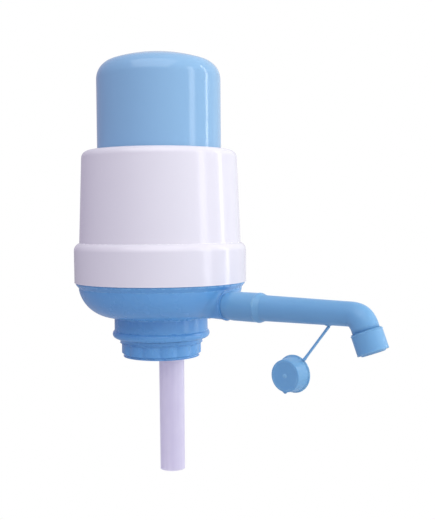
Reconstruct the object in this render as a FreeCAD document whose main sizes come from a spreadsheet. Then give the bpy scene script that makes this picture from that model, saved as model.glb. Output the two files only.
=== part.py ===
import FreeCAD, Part
import math
import os
import Sketcher

# Hand pump that stands on the neck of a water jug.
# Origin: mouth plane of the neck adaptor, on the pump axis. +Z up, +X along the spout. Millimetres.

V = FreeCAD.Vector
TURN = FreeCAD.Rotation

# Driving dimensions
DRIVING = {
    "wall": 2.4,
    "thin_wall": 1.2,
    "run_gap": 0.3,
    "fit_gap": 0.08,
    "seat_gap": 0.1,
    "grip_gap": 0.02,
    "soft_edge": 0.4,
    "cut_over": 1,

    "neck_bore_radius": 24.2,
    "adaptor_radius": 26.8,
    "adaptor_skirt_height": 9.4,
    "adaptor_band_height": 0.8,
    "adaptor_edge_round": 1.3,
    "flute_root_radius": 25.7,
    "flute_count": 14,
    "step_radius": 28.35,
    "step_top": 12.1,
    "adaptor_sleeve_radius": 27.3,
    "adaptor_top": 24.3,
    "thread_pitch": 4,
    "thread_turns": 1.5,
    "thread_depth": 1.1,
    "thread_root_width": 1.6,
    "thread_crest_width": 0.8,
    "thread_root_sink": 0.3,
    "thread_start": 14.5,

    "seal_thick": 1.6,
    "seal_hole_radius": 19.5,

    "collar_radius": 31.5,
    "collar_wall": 2.9,
    "collar_bottom": 12.4,
    "bead_radius": 2.9,
    "bead_height": 15.3,
    "bead_centre_radius": 29.9,

    "floor_bottom": 27,
    "lip_step": 1.1,
    "lip_overhang": 2.05,
    "bowl_rise": 18.4,
    "bowl_turn": 80,
    "lip_bottom": 46.6,
    "lip_edge": 1.2,
    "rim_height": 50.4,
    "ledge_width": 2.2,
    "rim_ring_wall": 2,
    "rim_ring_height": 4,

    "shell_bottom_radius": 58,
    "band_top_radius": 57.8,
    "band_height": 21.4,
    "shoulder_rise": 4.8,
    "shoulder_turn": 72,
    "upper_bottom_radius": 54.2,
    "upper_top_radius": 52.1,
    "upper_height": 56.6,
    "top_round": 4.7,
    "guide_length": 27.6,
    "guide_wall": 2.1,

    "cap_radius": 41.5,
    "cap_wall": 2.2,
    "cap_straight_top": 185.3,
    "cap_round": 12.8,
    "cap_crown_tilt": 18.5,
    "cap_flange": 4.1,
    "cap_flange_height": 4.9,
    "cap_boss_radius": 12,
    "cap_boss_bottom": 180,

    "deck_thick": 2.5,
    "screw_count": 4,
    "screw_radius": 1.6,
    "screw_length": 11,
    "screw_head_radius": 2.6,
    "screw_head_height": 2,
    "screw_boss_radius": 3.2,

    "bellows_room": 2.4,
    "bellows_fold_depth": 5.8,
    "bellows_flange_width": 4.2,
    "bellows_wall": 1.1,
    "bellows_folds": 14,
    "bellows_top": 172,
    "clamp_edge": 0.6,
    "clamp_thick": 2.5,
    "plug_room": 2,
    "plug_thick": 2.5,
    "plug_spigot_radius": 12,
    "plug_spigot_length": 6,
    "plug_stub_radius": 9.5,
    "plug_stub_length": 12,

    "tube_radius": 8.55,
    "tube_wall": 1.65,
    "tube_offset": 9,
    "tube_bottom": -76.1,
    "tube_stop": 41,
    "tube_seal_wall": 1.4,
    "tube_seal_height": 1.9,

    "intake_port_radius": 5.5,
    "intake_flap_radius": 8,
    "intake_flap_thick": 1.2,
    "intake_flap_lift": 1.5,
    "intake_cage_radius": 10.2,
    "cage_slot_radius": 1,
    "cage_slot_count": 6,

    "outlet_x": 26,
    "outlet_pipe_radius": 6.5,
    "outlet_bore_radius": 4.9,
    "outlet_channel_radius": 4.2,
    "outlet_valve_radius": 4.2,
    "outlet_valve_thick": 1,
    "outlet_stem_radius": 1,
    "outlet_barb": 0.6,
    "outlet_barb_length": 1.4,
    "outlet_port_radius": 0.8,
    "outlet_port_circle": 2.6,
    "outlet_port_count": 5,
    "channel_end": 33.7,
    "gasket_thick": 0.5,

    "spout_height": 36.8,
    "socket_radius": 9.2,
    "socket_bore_radius": 6.8,
    "socket_floor": 36,
    "socket_mouth": 57,
    "socket_rim": 0.5,
    "socket_rim_width": 1.6,
    "bead_groove_depth": 0.7,
    "bead_groove_inset": 13,
    "bead_groove_width": 2,
    "hub_floor_gap": 2,
    "hub_bore_radius": 3.8,
    "hub_radius": 9.2,
    "hub_shoulder_gap": 1,
    "hub_lead": 4.3,
    "hub_lead_drop": 0.8,
    "hub_end": 82.1,
    "hub_lip": 0.2,
    "hub_lip_width": 1,
    "hub_chamfer": 3.4,
    "o_ring_radius": 0.75,
    "o_ring_one_inset": 8.5,
    "o_ring_two_inset": 4,

    "spout_seat": 7,
    "spout_radius": 8.05,
    "spout_taper_end": 142,
    "spout_end_radius": 7.3,
    "spout_wall": 1.8,
    "elbow_start": 144.9,
    "elbow_radius": 9.8,
    "elbow_turn": 69,
    "nozzle_length": 13.5,
    "nozzle_radius": 9.3,
    "nozzle_wall": 3.1,
    "nozzle_mouth": 4,
    "nozzle_reach": 16.5,
    "nozzle_lip": 0.3,
    "nozzle_lip_width": 0.9,
    "nozzle_edge_round": 0.8,

    "strap_x": 130.6,
    "strap_drop": 0.25,
    "strap_thick": 1.4,
    "strap_width": 2.4,
    "strap_length": 27,
    "strap_angle": 38.9,
    "dust_flange_radius": 11.6,
    "dust_flange_thick": 1.5,
    "dust_cup_depth": 10.6,
    "dust_cup_wall": 1.1,
    "dust_face_thick": 1.3,
    "dust_edge_round": 1.4,
    "dust_cup_gap": 0.12,
    "dust_tab": 2.4,
    "dust_tab_width": 4,
    "dust_gate_radius": 0.8,
    "dust_gate_height": 0.3,
}

doc = FreeCAD.newDocument("jug_pump")
sheet = doc.addObject("Spreadsheet::Sheet", "dims")


class Size:
    """A length that knows its number and the sheet expression behind it."""

    def __init__(self, value, text):
        self.value = value
        self.text = text

    def __add__(self, other):
        other = as_size(other)
        return Size(self.value + other.value, f"({self.text} + {other.text})")

    def __sub__(self, other):
        other = as_size(other)
        return Size(self.value - other.value, f"({self.text} - {other.text})")

    def __mul__(self, other):
        other = as_size(other)
        return Size(self.value * other.value, f"({self.text} * {other.text})")

    def __truediv__(self, other):
        other = as_size(other)
        return Size(self.value / other.value, f"({self.text} / {other.text})")

    def __radd__(self, other):
        return as_size(other) + self

    def __rsub__(self, other):
        return as_size(other) - self

    def __rmul__(self, other):
        return as_size(other) * self

    def __rtruediv__(self, other):
        return as_size(other) / self

    def __neg__(self):
        return 0 - self


def as_size(value):
    if isinstance(value, Size):
        return value
    return Size(float(value), repr(float(value)))


def sine(angle):
    angle = as_size(angle)
    return Size(math.sin(math.radians(angle.value)), f"sin({angle.text})")


def cosine(angle):
    angle = as_size(angle)
    return Size(math.cos(math.radians(angle.value)), f"cos({angle.text})")


def root(value):
    value = as_size(value)
    return Size(math.sqrt(value.value), f"sqrt({value.text})")


class Dims:
    """The driving dimensions by name, each as a Size."""

    def __init__(self, values):
        for row, (name, value) in enumerate(values.items(), start=1):
            sheet.set(f"A{row}", name)
            sheet.set(f"B{row}", repr(value))
            sheet.setAlias(f"B{row}", name)
            setattr(self, name, Size(float(value), f"dims.{name}"))


D = Dims(DRIVING)
doc.recompute()

# Helpers for sketches, bodies and features


def bind(thing, field, size):
    thing.setExpression(field, as_size(size).text)


def place(thing, x=0, y=0, z=0, rotation=None):
    """Sets a placement and binds its base point."""
    x, y, z = as_size(x), as_size(y), as_size(z)
    thing.Placement = FreeCAD.Placement(V(x.value, y.value, z.value), rotation or TURN())
    bind(thing, "Placement.Base.x", x)
    bind(thing, "Placement.Base.y", y)
    bind(thing, "Placement.Base.z", z)


def new_body(name):
    body = doc.addObject("PartDesign::Body", name)
    body.Label = name
    return body


def new_sketch(body, name, plane, offset=0):
    sketch = body.newObject("Sketcher::SketchObject", name)
    support = [part for part in body.Origin.OriginFeatures if part.Role == plane][0]
    sketch.AttachmentSupport = [(support, "")]
    sketch.MapMode = "FlatFace"
    bind(sketch, "AttachmentOffset.Base.z", offset)
    return sketch


def arc_between(start, end, radius, side):
    """An arc under half a turn; side 1 bulges to the left of travel, -1 to the right."""
    chord = end - start
    half = chord.Length / 2
    middle = (start + end) * 0.5
    left = V(-chord.y, chord.x, 0).normalize()
    centre = middle - left * side * math.sqrt(max(radius * radius - half * half, 0))
    circle = Part.Circle(centre, V(0, 0, 1), radius)
    first = math.atan2(start.y - centre.y, start.x - centre.x)
    last = math.atan2(end.y - centre.y, end.x - centre.x)
    if side > 0:
        first, last = last, first
    if last < first:
        last += 2 * math.pi
    return Part.ArcOfCircle(circle, first, last)


def pin_point(sketch, edge, corner, size_x, size_y):
    for kind, size in (("DistanceX", size_x), ("DistanceY", size_y)):
        row = sketch.addConstraint(Sketcher.Constraint(kind, -1, 1, edge, corner, size.value))
        sketch.setExpression(f"Constraints[{row}]", size.text)


def add_outline(sketch, corners, closed=True):
    """Draws corners (x, y) or (x, y, radius, side), where the last two bend the edge that follows."""
    rows = [tuple(as_size(part) for part in corner[:2]) + tuple(corner[2:]) for corner in corners]
    count = len(rows)
    edges = count if closed else count - 1
    ends = []
    for index in range(edges):
        here = rows[index]
        there = rows[(index + 1) % count]
        start = V(here[0].value, here[1].value, 0)
        end = V(there[0].value, there[1].value, 0)
        if len(here) == 2:
            edge = sketch.addGeometry(Part.LineSegment(start, end), False)
            ends.append((edge, 1, 2))
            continue
        radius = as_size(here[2])
        edge = sketch.addGeometry(arc_between(start, end, radius.value, here[3]), False)
        ends.append((edge, 2, 1) if here[3] > 0 else (edge, 1, 2))
    for index, (edge, first, last) in enumerate(ends):
        if closed or index + 1 < edges:
            following = ends[(index + 1) % edges]
            sketch.addConstraint(Sketcher.Constraint("Coincident", edge, last, following[0], following[1]))
        pin_point(sketch, edge, first, rows[index][0], rows[index][1])
    if not closed:
        pin_point(sketch, ends[-1][0], ends[-1][2], rows[-1][0], rows[-1][1])
    for index, (edge, first, last) in enumerate(ends):
        if len(rows[index]) > 2:
            radius = as_size(rows[index][2])
            row = sketch.addConstraint(Sketcher.Constraint("Radius", edge, radius.value))
            sketch.setExpression(f"Constraints[{row}]", radius.text)
    return sketch


def add_circle(sketch, x, y, radius):
    x, y, radius = as_size(x), as_size(y), as_size(radius)
    edge = sketch.addGeometry(Part.Circle(V(x.value, y.value, 0), V(0, 0, 1), radius.value), False)
    pin_point(sketch, edge, 3, x, y)
    row = sketch.addConstraint(Sketcher.Constraint("Radius", edge, radius.value))
    sketch.setExpression(f"Constraints[{row}]", radius.text)


def turned(body, name, corners, axis="V_Axis", cut=False):
    """Turns an outline in the XZ plane about Z (V_Axis) or X (H_Axis)."""
    sketch = new_sketch(body, f"{name}_outline", "XZ_Plane")
    add_outline(sketch, corners)
    kind = "PartDesign::Groove" if cut else "PartDesign::Revolution"
    feature = body.newObject(kind, name)
    feature.Profile = sketch
    feature.ReferenceAxis = (sketch, [axis])
    feature.Angle = 360
    return feature


def rod(body, name, radius, length, x=0, y=0, z=0, along="Z", cut=False):
    """A round boss or hole that starts at x, y, z and runs along +Z or +X."""
    kind = "PartDesign::SubtractiveCylinder" if cut else "PartDesign::AdditiveCylinder"
    feature = body.newObject(kind, name)
    bind(feature, "Radius", radius)
    bind(feature, "Height", length)
    place(feature, x, y, z, TURN(V(0, 1, 0), 90) if along == "X" else TURN())
    return feature


def round_pattern(body, feature, count):
    """Repeats a feature about the body's own Z axis."""
    axis = [part for part in body.Origin.OriginFeatures if part.Role == "Z_Axis"][0]
    pattern = body.newObject("PartDesign::PolarPattern", f"{feature.Name}_ring")
    pattern.Originals = [feature]
    pattern.Axis = (axis, [""])
    pattern.Angle = 360
    bind(pattern, "Occurrences", count)
    body.Tip = pattern
    return pattern


def bend_radius(across, rise, angle):
    """The radius of an arc that turns by this angle over a run of across by rise."""
    return root(across * across + rise * rise) / (2 * sine(as_size(angle) / 2))


def helix_ridge(body, name, wall_radius, outward, start):
    """A trapezoid ridge that climbs a round wall, standing out (1) or in (-1)."""
    half_root = D.thread_root_width / 2
    half_crest = D.thread_crest_width / 2
    inner = wall_radius - outward * D.thread_root_sink
    crest = wall_radius + outward * D.thread_depth
    sketch = new_sketch(body, f"{name}_outline", "XZ_Plane")
    add_outline(sketch, [(inner, start - half_root), (crest, start - half_crest),
                         (crest, start + half_crest), (inner, start + half_root)])
    ridge = body.newObject("PartDesign::AdditiveHelix", name)
    ridge.Profile = sketch
    ridge.ReferenceAxis = (sketch, ["V_Axis"])
    ridge.Mode = "pitch-turns-angle"
    bind(ridge, "Pitch", D.thread_pitch)
    bind(ridge, "Turns", D.thread_turns)
    return ridge


# Levels and radii that follow from the driving dimensions

collar_bore = D.collar_radius - D.collar_wall
floor_top = D.floor_bottom + D.wall
deck_bottom = D.lip_bottom
deck_top = deck_bottom + D.deck_thick
shell_step = D.rim_height + D.band_height
upper_bottom = shell_step + D.shoulder_rise
upper_top = upper_bottom + D.upper_height
shell_top = upper_top + D.top_round
guide_radius = D.cap_radius + D.run_gap
guide_bottom = shell_top - D.guide_length
cap_bottom = guide_bottom - D.seat_gap - D.cap_flange_height
lip_radius = D.shell_bottom_radius - D.lip_step
bowl_radius = lip_radius - D.lip_overhang
ring_outer = D.shell_bottom_radius - D.wall - D.seat_gap
ring_inner = ring_outer - D.rim_ring_wall
deck_radius = ring_inner - D.run_gap
bellows_crest = D.cap_radius - D.cap_wall - D.bellows_room
bellows_root = bellows_crest - D.bellows_fold_depth
bellows_flange = bellows_crest + D.bellows_flange_width
bellows_flange_top = deck_top + D.bellows_wall
screw_circle = (bellows_flange + deck_radius) / 2
clamp_radius = screw_circle + D.screw_radius + D.clamp_edge
bead_groove_x = D.socket_mouth - D.bead_groove_inset
o_ring_places = (D.socket_mouth - D.o_ring_one_inset, D.socket_mouth - D.o_ring_two_inset)
hub_start = D.socket_floor + D.hub_floor_gap
spout_start = D.socket_mouth + D.spout_seat
nozzle_tilt = 90 - D.elbow_turn
elbow_end_x = D.elbow_start + D.elbow_radius * sine(D.elbow_turn)
elbow_end_drop = D.elbow_radius * (1 - cosine(D.elbow_turn))


def on_nozzle(distance):
    """A point on the nozzle axis, measured from the end of the elbow: x and z."""
    x = elbow_end_x + distance * sine(nozzle_tilt)
    z = D.spout_height - elbow_end_drop - distance * cosine(nozzle_tilt)
    return x, z


# Neck adaptor: fluted skirt, step ring and threaded sleeve

def make_neck_adaptor():
    body = new_body("neck_adaptor")
    lobe_half = 180 / D.flute_count
    reach = (D.flute_root_radius * D.flute_root_radius + D.adaptor_radius * D.adaptor_radius
             - 2 * D.flute_root_radius * D.adaptor_radius * cosine(lobe_half))
    lobe_radius = reach / (2 * (D.adaptor_radius - D.flute_root_radius * cosine(lobe_half)))
    flutes = new_sketch(body, "flutes", "XY_Plane")
    count = int(D.flute_count.value)
    corners = []
    for index in range(count):
        angle = (2 * index + 1) * 180 / D.flute_count
        corners.append((D.flute_root_radius * cosine(angle), D.flute_root_radius * sine(angle),
                        lobe_radius, -1))
    add_outline(flutes, corners)
    add_circle(flutes, 0, 0, D.neck_bore_radius)
    skirt = body.newObject("PartDesign::Pad", "skirt")
    skirt.Profile = flutes
    bind(skirt, "Length", D.adaptor_skirt_height)
    doc.recompute()
    edge = D.adaptor_edge_round
    outside = D.adaptor_radius + D.cut_over
    turned(body, "skirt_edge", [
        (D.adaptor_radius - edge, 0, edge, -1), (D.adaptor_radius, edge), (outside, edge),
        (outside, -D.cut_over), (D.adaptor_radius - edge, -D.cut_over)], cut=True)
    band_bottom = D.adaptor_skirt_height - D.adaptor_band_height
    soft = D.soft_edge
    turned(body, "step_and_sleeve", [
        (D.neck_bore_radius, band_bottom), (D.adaptor_radius, band_bottom),
        (D.adaptor_radius, D.adaptor_skirt_height), (D.step_radius - soft, D.adaptor_skirt_height),
        (D.step_radius, D.adaptor_skirt_height + soft), (D.step_radius, D.step_top - soft),
        (D.step_radius - soft, D.step_top), (D.adaptor_sleeve_radius, D.step_top),
        (D.adaptor_sleeve_radius, D.adaptor_top), (D.neck_bore_radius, D.adaptor_top)])
    helix_ridge(body, "adaptor_thread", D.adaptor_sleeve_radius, 1, D.thread_start)


def make_neck_seal():
    body = new_body("neck_seal")
    low = D.adaptor_top
    high = D.adaptor_top + D.seal_thick
    outer = D.adaptor_sleeve_radius
    turned(body, "seal_ring", [(D.seal_hole_radius, low), (outer, low), (outer, high),
                               (D.seal_hole_radius, high)])


# Base bowl: collar, bowl, rim, spout socket and screw bosses

def bowl_level(radius, bend):
    """The height of the bowl's outside at this radius: the lower half of the bend's circle."""
    across = bowl_radius - D.collar_radius
    chord = root(across * across + D.bowl_rise * D.bowl_rise)
    back = bend * cosine(D.bowl_turn / 2) / chord
    centre_x = D.collar_radius + across / 2 - D.bowl_rise * back
    centre_z = D.floor_bottom + D.bowl_rise / 2 + across * back
    return centre_z - root(bend * bend - (radius - centre_x) * (radius - centre_x))


def make_base_bowl():
    body = new_body("base_bowl")
    bead_meet = D.bead_height + root(D.bead_radius * D.bead_radius
                                     - (D.collar_radius - D.bead_centre_radius)
                                     * (D.collar_radius - D.bead_centre_radius))
    crown = D.floor_bottom + D.bowl_rise
    inner_wall = bowl_radius - D.wall
    ledge_radius = deck_radius - D.ledge_width
    ring_top = D.rim_height + D.rim_ring_height
    outer_bend = bend_radius(bowl_radius - D.collar_radius, D.bowl_rise, D.bowl_turn)
    inner_bend = bend_radius(inner_wall - D.collar_radius, crown - floor_top, D.bowl_turn)
    profile = [(0, D.floor_bottom), (collar_bore, D.floor_bottom), (collar_bore, D.collar_bottom),
               (D.bead_centre_radius, D.collar_bottom, D.bead_radius, -1),
               (D.bead_centre_radius + D.bead_radius, D.bead_height, D.bead_radius, -1),
               (D.collar_radius, bead_meet),
               (D.collar_radius, D.floor_bottom, outer_bend, -1),
               (bowl_radius, crown), (bowl_radius, D.lip_bottom),
               (lip_radius, D.rim_height - D.lip_edge), (lip_radius, D.rim_height),
               (ring_outer, D.rim_height), (ring_outer, ring_top), (ring_inner, ring_top),
               (ring_inner, deck_bottom), (ledge_radius, deck_bottom),
               (ledge_radius, deck_bottom - D.lip_edge),
               (inner_wall, crown, inner_bend, 1),
               (D.collar_radius, floor_top), (0, floor_top)]
    sketch = new_sketch(body, "bowl_outline", "XZ_Plane")
    add_outline(sketch, profile)
    bowl = body.newObject("PartDesign::Revolution", "bowl")
    bowl.Profile = sketch
    bowl.ReferenceAxis = (sketch, ["V_Axis"])
    bowl.Angle = 360
    doc.recompute()
    socket_start = D.channel_end + D.gasket_thick
    rod(body, "socket", D.socket_radius, D.socket_mouth - socket_start,
        socket_start, 0, D.spout_height, "X")
    rod(body, "socket_rim", D.socket_radius + D.socket_rim, D.socket_rim_width,
        D.socket_mouth - D.socket_rim_width, 0, D.spout_height, "X")
    boss_x = screw_circle * cosine(45)
    boss_foot = bowl_level(screw_circle + D.screw_boss_radius, outer_bend) + D.soft_edge
    boss = rod(body, "screw_boss", D.screw_boss_radius, deck_bottom - boss_foot, boss_x, boss_x, boss_foot)
    round_pattern(body, boss, D.screw_count)
    pilot_foot = boss_foot + D.thin_wall
    pilot = rod(body, "screw_pilot", D.screw_radius + D.grip_gap, deck_bottom - pilot_foot,
                boss_x, boss_x, pilot_foot, cut=True)
    round_pattern(body, pilot, D.screw_count)
    rod(body, "socket_bore", D.socket_bore_radius, D.socket_mouth - D.socket_floor + D.cut_over,
        D.socket_floor, 0, D.spout_height, "X", cut=True)
    rod(body, "snap_groove", D.socket_bore_radius + D.bead_groove_depth, D.bead_groove_width,
        bead_groove_x, 0, D.spout_height, "X", cut=True)
    rod(body, "channel_hole", D.outlet_channel_radius, D.socket_floor - socket_start + 2 * D.cut_over,
        socket_start - D.cut_over, 0, D.spout_height, "X", cut=True)
    rod(body, "tube_hole", D.tube_radius + D.run_gap, D.wall + 2 * D.cut_over, D.tube_offset, 0,
        D.floor_bottom - D.cut_over, cut=True)
    helix_ridge(body, "collar_thread", collar_bore, -1, D.thread_start + D.thread_pitch / 2)


# White housing shell with the guide for the press cap

def make_housing_shell():
    body = new_body("housing_shell")
    wall = D.wall
    shoulder = bend_radius(D.band_top_radius - D.upper_bottom_radius, D.shoulder_rise, D.shoulder_turn)
    inner_top = shell_top - wall
    guide_outer = guide_radius + D.guide_wall
    turned(body, "shell", [
        (D.shell_bottom_radius, D.rim_height),
        (D.band_top_radius, shell_step, shoulder, -1),
        (D.upper_bottom_radius, upper_bottom),
        (D.upper_top_radius, upper_top, D.top_round, -1),
        (D.upper_top_radius - D.top_round, shell_top),
        (guide_radius + D.soft_edge, shell_top), (guide_radius, shell_top - D.soft_edge),
        (guide_radius, guide_bottom), (guide_outer, guide_bottom), (guide_outer, inner_top),
        (D.upper_top_radius - D.top_round + D.soft_edge, inner_top),
        (D.upper_top_radius - wall, upper_top),
        (D.upper_bottom_radius - wall, upper_bottom - wall),
        (D.band_top_radius - wall, shell_step - wall),
        (D.shell_bottom_radius - wall, D.rim_height)])


# Press cap: a deep cup with a domed top, a stop flange and a boss for the bellows

def make_press_cap():
    body = new_body("press_cap")
    tilt = D.cap_crown_tilt
    corner_x = D.cap_radius - D.cap_round
    join_x = corner_x + D.cap_round * sine(tilt)
    join_z = D.cap_straight_top + D.cap_round * cosine(tilt)
    crown_radius = join_x / sine(tilt)
    top = join_z + crown_radius * (1 - cosine(tilt))
    wall = D.cap_wall
    inner_round = D.cap_round - wall
    inner_x = corner_x + inner_round * sine(tilt)
    inner_z = D.cap_straight_top + inner_round * cosine(tilt)
    flange = D.cap_radius + D.cap_flange
    flange_top = cap_bottom + D.cap_flange_height
    boss_inner = D.plug_stub_radius + D.seat_gap
    boss_top = top - wall / 2
    turned(body, "cup", [
        (D.cap_radius - wall, cap_bottom), (flange, cap_bottom), (flange, flange_top - D.soft_edge),
        (flange - D.soft_edge, flange_top), (D.cap_radius, flange_top),
        (D.cap_radius, D.cap_straight_top, D.cap_round, -1),
        (join_x, join_z, crown_radius, -1),
        (0, top), (0, top - wall, crown_radius - wall, 1),
        (inner_x, inner_z, inner_round, 1),
        (D.cap_radius - wall, D.cap_straight_top)])
    turned(body, "boss", [
        (boss_inner, D.cap_boss_bottom), (D.cap_boss_radius, D.cap_boss_bottom),
        (D.cap_boss_radius, boss_top), (boss_inner, boss_top)])


# Bellows between the deck and the press cap

def make_bellows():
    body = new_body("bellows")
    wall = D.bellows_wall
    rise = (D.bellows_top - wall - bellows_flange_top) / D.bellows_folds
    folds = int(D.bellows_folds.value)
    outer = []
    for fold in range(folds):
        low = bellows_flange_top + rise * fold
        outer.append((bellows_root + wall, low))
        outer.append((bellows_crest, low + rise / 2))
    inner = [(x - wall, z) for x, z in outer[1:]]
    hole = D.plug_spigot_radius
    corners = [(bellows_root, deck_top), (bellows_flange, deck_top),
               (bellows_flange, bellows_flange_top)]
    corners += outer
    corners += [(bellows_root + wall, D.bellows_top), (hole, D.bellows_top),
                (hole, D.bellows_top - wall), (bellows_root, D.bellows_top - wall)]
    corners += list(reversed(inner))
    turned(body, "folds", corners)


def make_bellows_plug():
    body = new_body("bellows_plug")
    low = D.bellows_top
    high = low + D.plug_thick
    stub_top = D.cap_boss_bottom + D.plug_stub_length
    plug_radius = bellows_root - D.plug_room
    turned(body, "plug", [
        (0, low - D.plug_spigot_length), (D.plug_spigot_radius, low - D.plug_spigot_length),
        (D.plug_spigot_radius, low), (plug_radius, low), (plug_radius, high),
        (D.cap_boss_radius, high), (D.cap_boss_radius, D.cap_boss_bottom),
        (D.plug_stub_radius, D.cap_boss_bottom), (D.plug_stub_radius, stub_top), (0, stub_top)])


def make_clamp_ring():
    body = new_body("clamp_ring")
    inner = bellows_crest + 2 * D.run_gap
    step = bellows_flange + D.seat_gap
    top = bellows_flange_top + D.clamp_thick
    turned(body, "ring", [
        (inner, bellows_flange_top), (step, bellows_flange_top), (step, deck_top),
        (clamp_radius, deck_top), (clamp_radius, top), (inner, top)])
    hole_x = screw_circle * cosine(45)
    hole = rod(body, "ring_hole", D.screw_radius + D.seat_gap, top - deck_top + 2 * D.cut_over,
               hole_x, hole_x, deck_top - D.cut_over, cut=True)
    round_pattern(body, hole, D.screw_count)


def make_clamp_screws():
    """Pan-head screws through the clamp ring and deck into the bowl's bosses."""
    seat = bellows_flange_top + D.clamp_thick
    screws = []
    for index in range(int(D.screw_count.value)):
        angle = 45 + 360 / D.screw_count * index
        x = screw_circle * cosine(angle)
        y = screw_circle * sine(angle)
        shank = doc.addObject("Part::Cylinder", f"screw_shank_{index}")
        bind(shank, "Radius", D.screw_radius)
        bind(shank, "Height", D.screw_length + D.screw_head_height / 2)
        place(shank, x, y, seat - D.screw_length)
        head = doc.addObject("Part::Cylinder", f"screw_head_{index}")
        bind(head, "Radius", D.screw_head_radius)
        bind(head, "Height", D.screw_head_height)
        place(head, x, y, seat)
        screw = doc.addObject("Part::Fuse", f"screw_{index}")
        screw.Base = shank
        screw.Tool = head
        screws.append(screw)
    joined = doc.addObject("Part::Compound", "clamp_screws")
    joined.Links = screws
    joined.Label = "clamp_screws"


# Valve block: deck, intake socket for the dip tube, outlet channel to the spout

def make_valve_block():
    body = new_body("valve_block")
    pipe_radius = D.tube_radius + D.seat_gap + D.wall
    channel_start = D.outlet_x
    bottom = D.spout_height - D.outlet_pipe_radius
    through = D.deck_thick + 2 * D.cut_over
    under = deck_bottom - D.cut_over
    turned(body, "deck", [(0, deck_bottom), (deck_radius, deck_bottom), (deck_radius, deck_top),
                          (0, deck_top)])
    rod(body, "intake_pipe", pipe_radius, deck_top - floor_top - D.cut_over, D.tube_offset, 0, floor_top)
    rod(body, "outlet_pipe", D.outlet_pipe_radius, deck_top - bottom - D.cut_over, D.outlet_x, 0, bottom)
    rod(body, "outlet_stub", D.outlet_pipe_radius, D.channel_end - channel_start, channel_start, 0,
        D.spout_height, "X")
    rod(body, "tube_socket", D.tube_radius + D.seat_gap, D.tube_stop - floor_top + D.cut_over,
        D.tube_offset, 0, floor_top - D.cut_over, cut=True)
    rod(body, "seal_seat", D.tube_radius + D.tube_seal_wall + D.fit_gap,
        D.tube_seal_height + D.seat_gap + D.cut_over, D.tube_offset, 0, floor_top - D.cut_over, cut=True)
    rod(body, "intake_port", D.intake_port_radius, deck_top - D.tube_stop + 2 * D.cut_over,
        D.tube_offset, 0, D.tube_stop - D.cut_over, cut=True)
    rod(body, "outlet_bore", D.outlet_bore_radius, deck_bottom - D.spout_height + D.outlet_channel_radius,
        D.outlet_x, 0, D.spout_height - D.outlet_channel_radius, cut=True)
    rod(body, "outlet_channel", D.outlet_channel_radius, D.channel_end - channel_start + D.cut_over,
        channel_start, 0, D.spout_height, "X", cut=True)
    rod(body, "stem_hole", D.outlet_stem_radius, through, D.outlet_x, 0, under, cut=True)
    for index in range(int(D.outlet_port_count.value)):
        angle = 360 / D.outlet_port_count * index
        rod(body, f"outlet_port_{index}", D.outlet_port_radius, through,
            D.outlet_x + D.outlet_port_circle * cosine(angle), D.outlet_port_circle * sine(angle),
            under, cut=True)
    hole_x = screw_circle * cosine(45)
    hole = rod(body, "deck_hole", D.screw_radius + D.seat_gap, through, hole_x, hole_x, under, cut=True)
    round_pattern(body, hole, D.screw_count)


def make_intake_valve():
    flap = new_body("intake_flap")
    place(flap, D.tube_offset, 0, deck_top)
    turned(flap, "flap", [(0, 0), (D.intake_flap_radius, 0),
                          (D.intake_flap_radius, D.intake_flap_thick), (0, D.intake_flap_thick)])
    cage = new_body("intake_cage")
    place(cage, D.tube_offset, 0, deck_top)
    inner = D.intake_flap_radius + D.run_gap
    under = D.intake_flap_thick + D.intake_flap_lift + D.seat_gap
    top = under + D.thin_wall
    turned(cage, "cage", [(inner, 0), (D.intake_cage_radius, 0), (D.intake_cage_radius, top),
                          (D.intake_port_radius, top), (D.intake_port_radius, under), (inner, under)])
    slot = rod(cage, "cage_slot", D.cage_slot_radius, D.intake_cage_radius + D.cut_over, 0, 0,
               D.intake_flap_thick + D.seat_gap + D.cage_slot_radius / 4, "X", cut=True)
    round_pattern(cage, slot, D.cage_slot_count)


def make_outlet_valve():
    body = new_body("outlet_valve")
    place(body, D.outlet_x, 0, deck_bottom)
    stem = D.outlet_stem_radius - D.grip_gap
    rise = D.deck_thick + D.seat_gap
    tip = rise + D.outlet_barb_length
    turned(body, "mushroom", [
        (0, -D.outlet_valve_thick), (D.outlet_valve_radius - D.soft_edge, -D.outlet_valve_thick * 0.7),
        (D.outlet_valve_radius, 0), (stem, 0), (stem, rise),
        (stem + D.outlet_barb, rise + D.outlet_barb / 3), (stem, tip), (0, tip)])


def make_dip_tube():
    body = new_body("dip_tube")
    place(body, D.tube_offset, 0, 0)
    inner = D.tube_radius - D.tube_wall
    top = D.tube_stop - D.seat_gap
    turned(body, "tube", [(inner, D.tube_bottom), (D.tube_radius, D.tube_bottom), (D.tube_radius, top),
                          (inner, top)])


def make_tube_seal():
    body = new_body("tube_seal")
    place(body, D.tube_offset, 0, floor_top)
    outer = D.tube_radius + D.tube_seal_wall
    inner = D.tube_radius + D.grip_gap
    turned(body, "seal", [(inner, 0), (outer, 0), (outer, D.tube_seal_height),
                          (inner, D.tube_seal_height)])


def make_channel_gasket():
    body = new_body("channel_gasket")
    place(body, 0, 0, D.spout_height)
    end = D.channel_end + D.gasket_thick
    inner = D.outlet_channel_radius + D.seat_gap
    turned(body, "gasket", [(D.channel_end, inner), (end, inner), (end, D.outlet_pipe_radius),
                            (D.channel_end, D.outlet_pipe_radius)], axis="H_Axis")


# Spout: hub that turns in the socket, tapered tube with an elbow, nozzle sleeve

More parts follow.
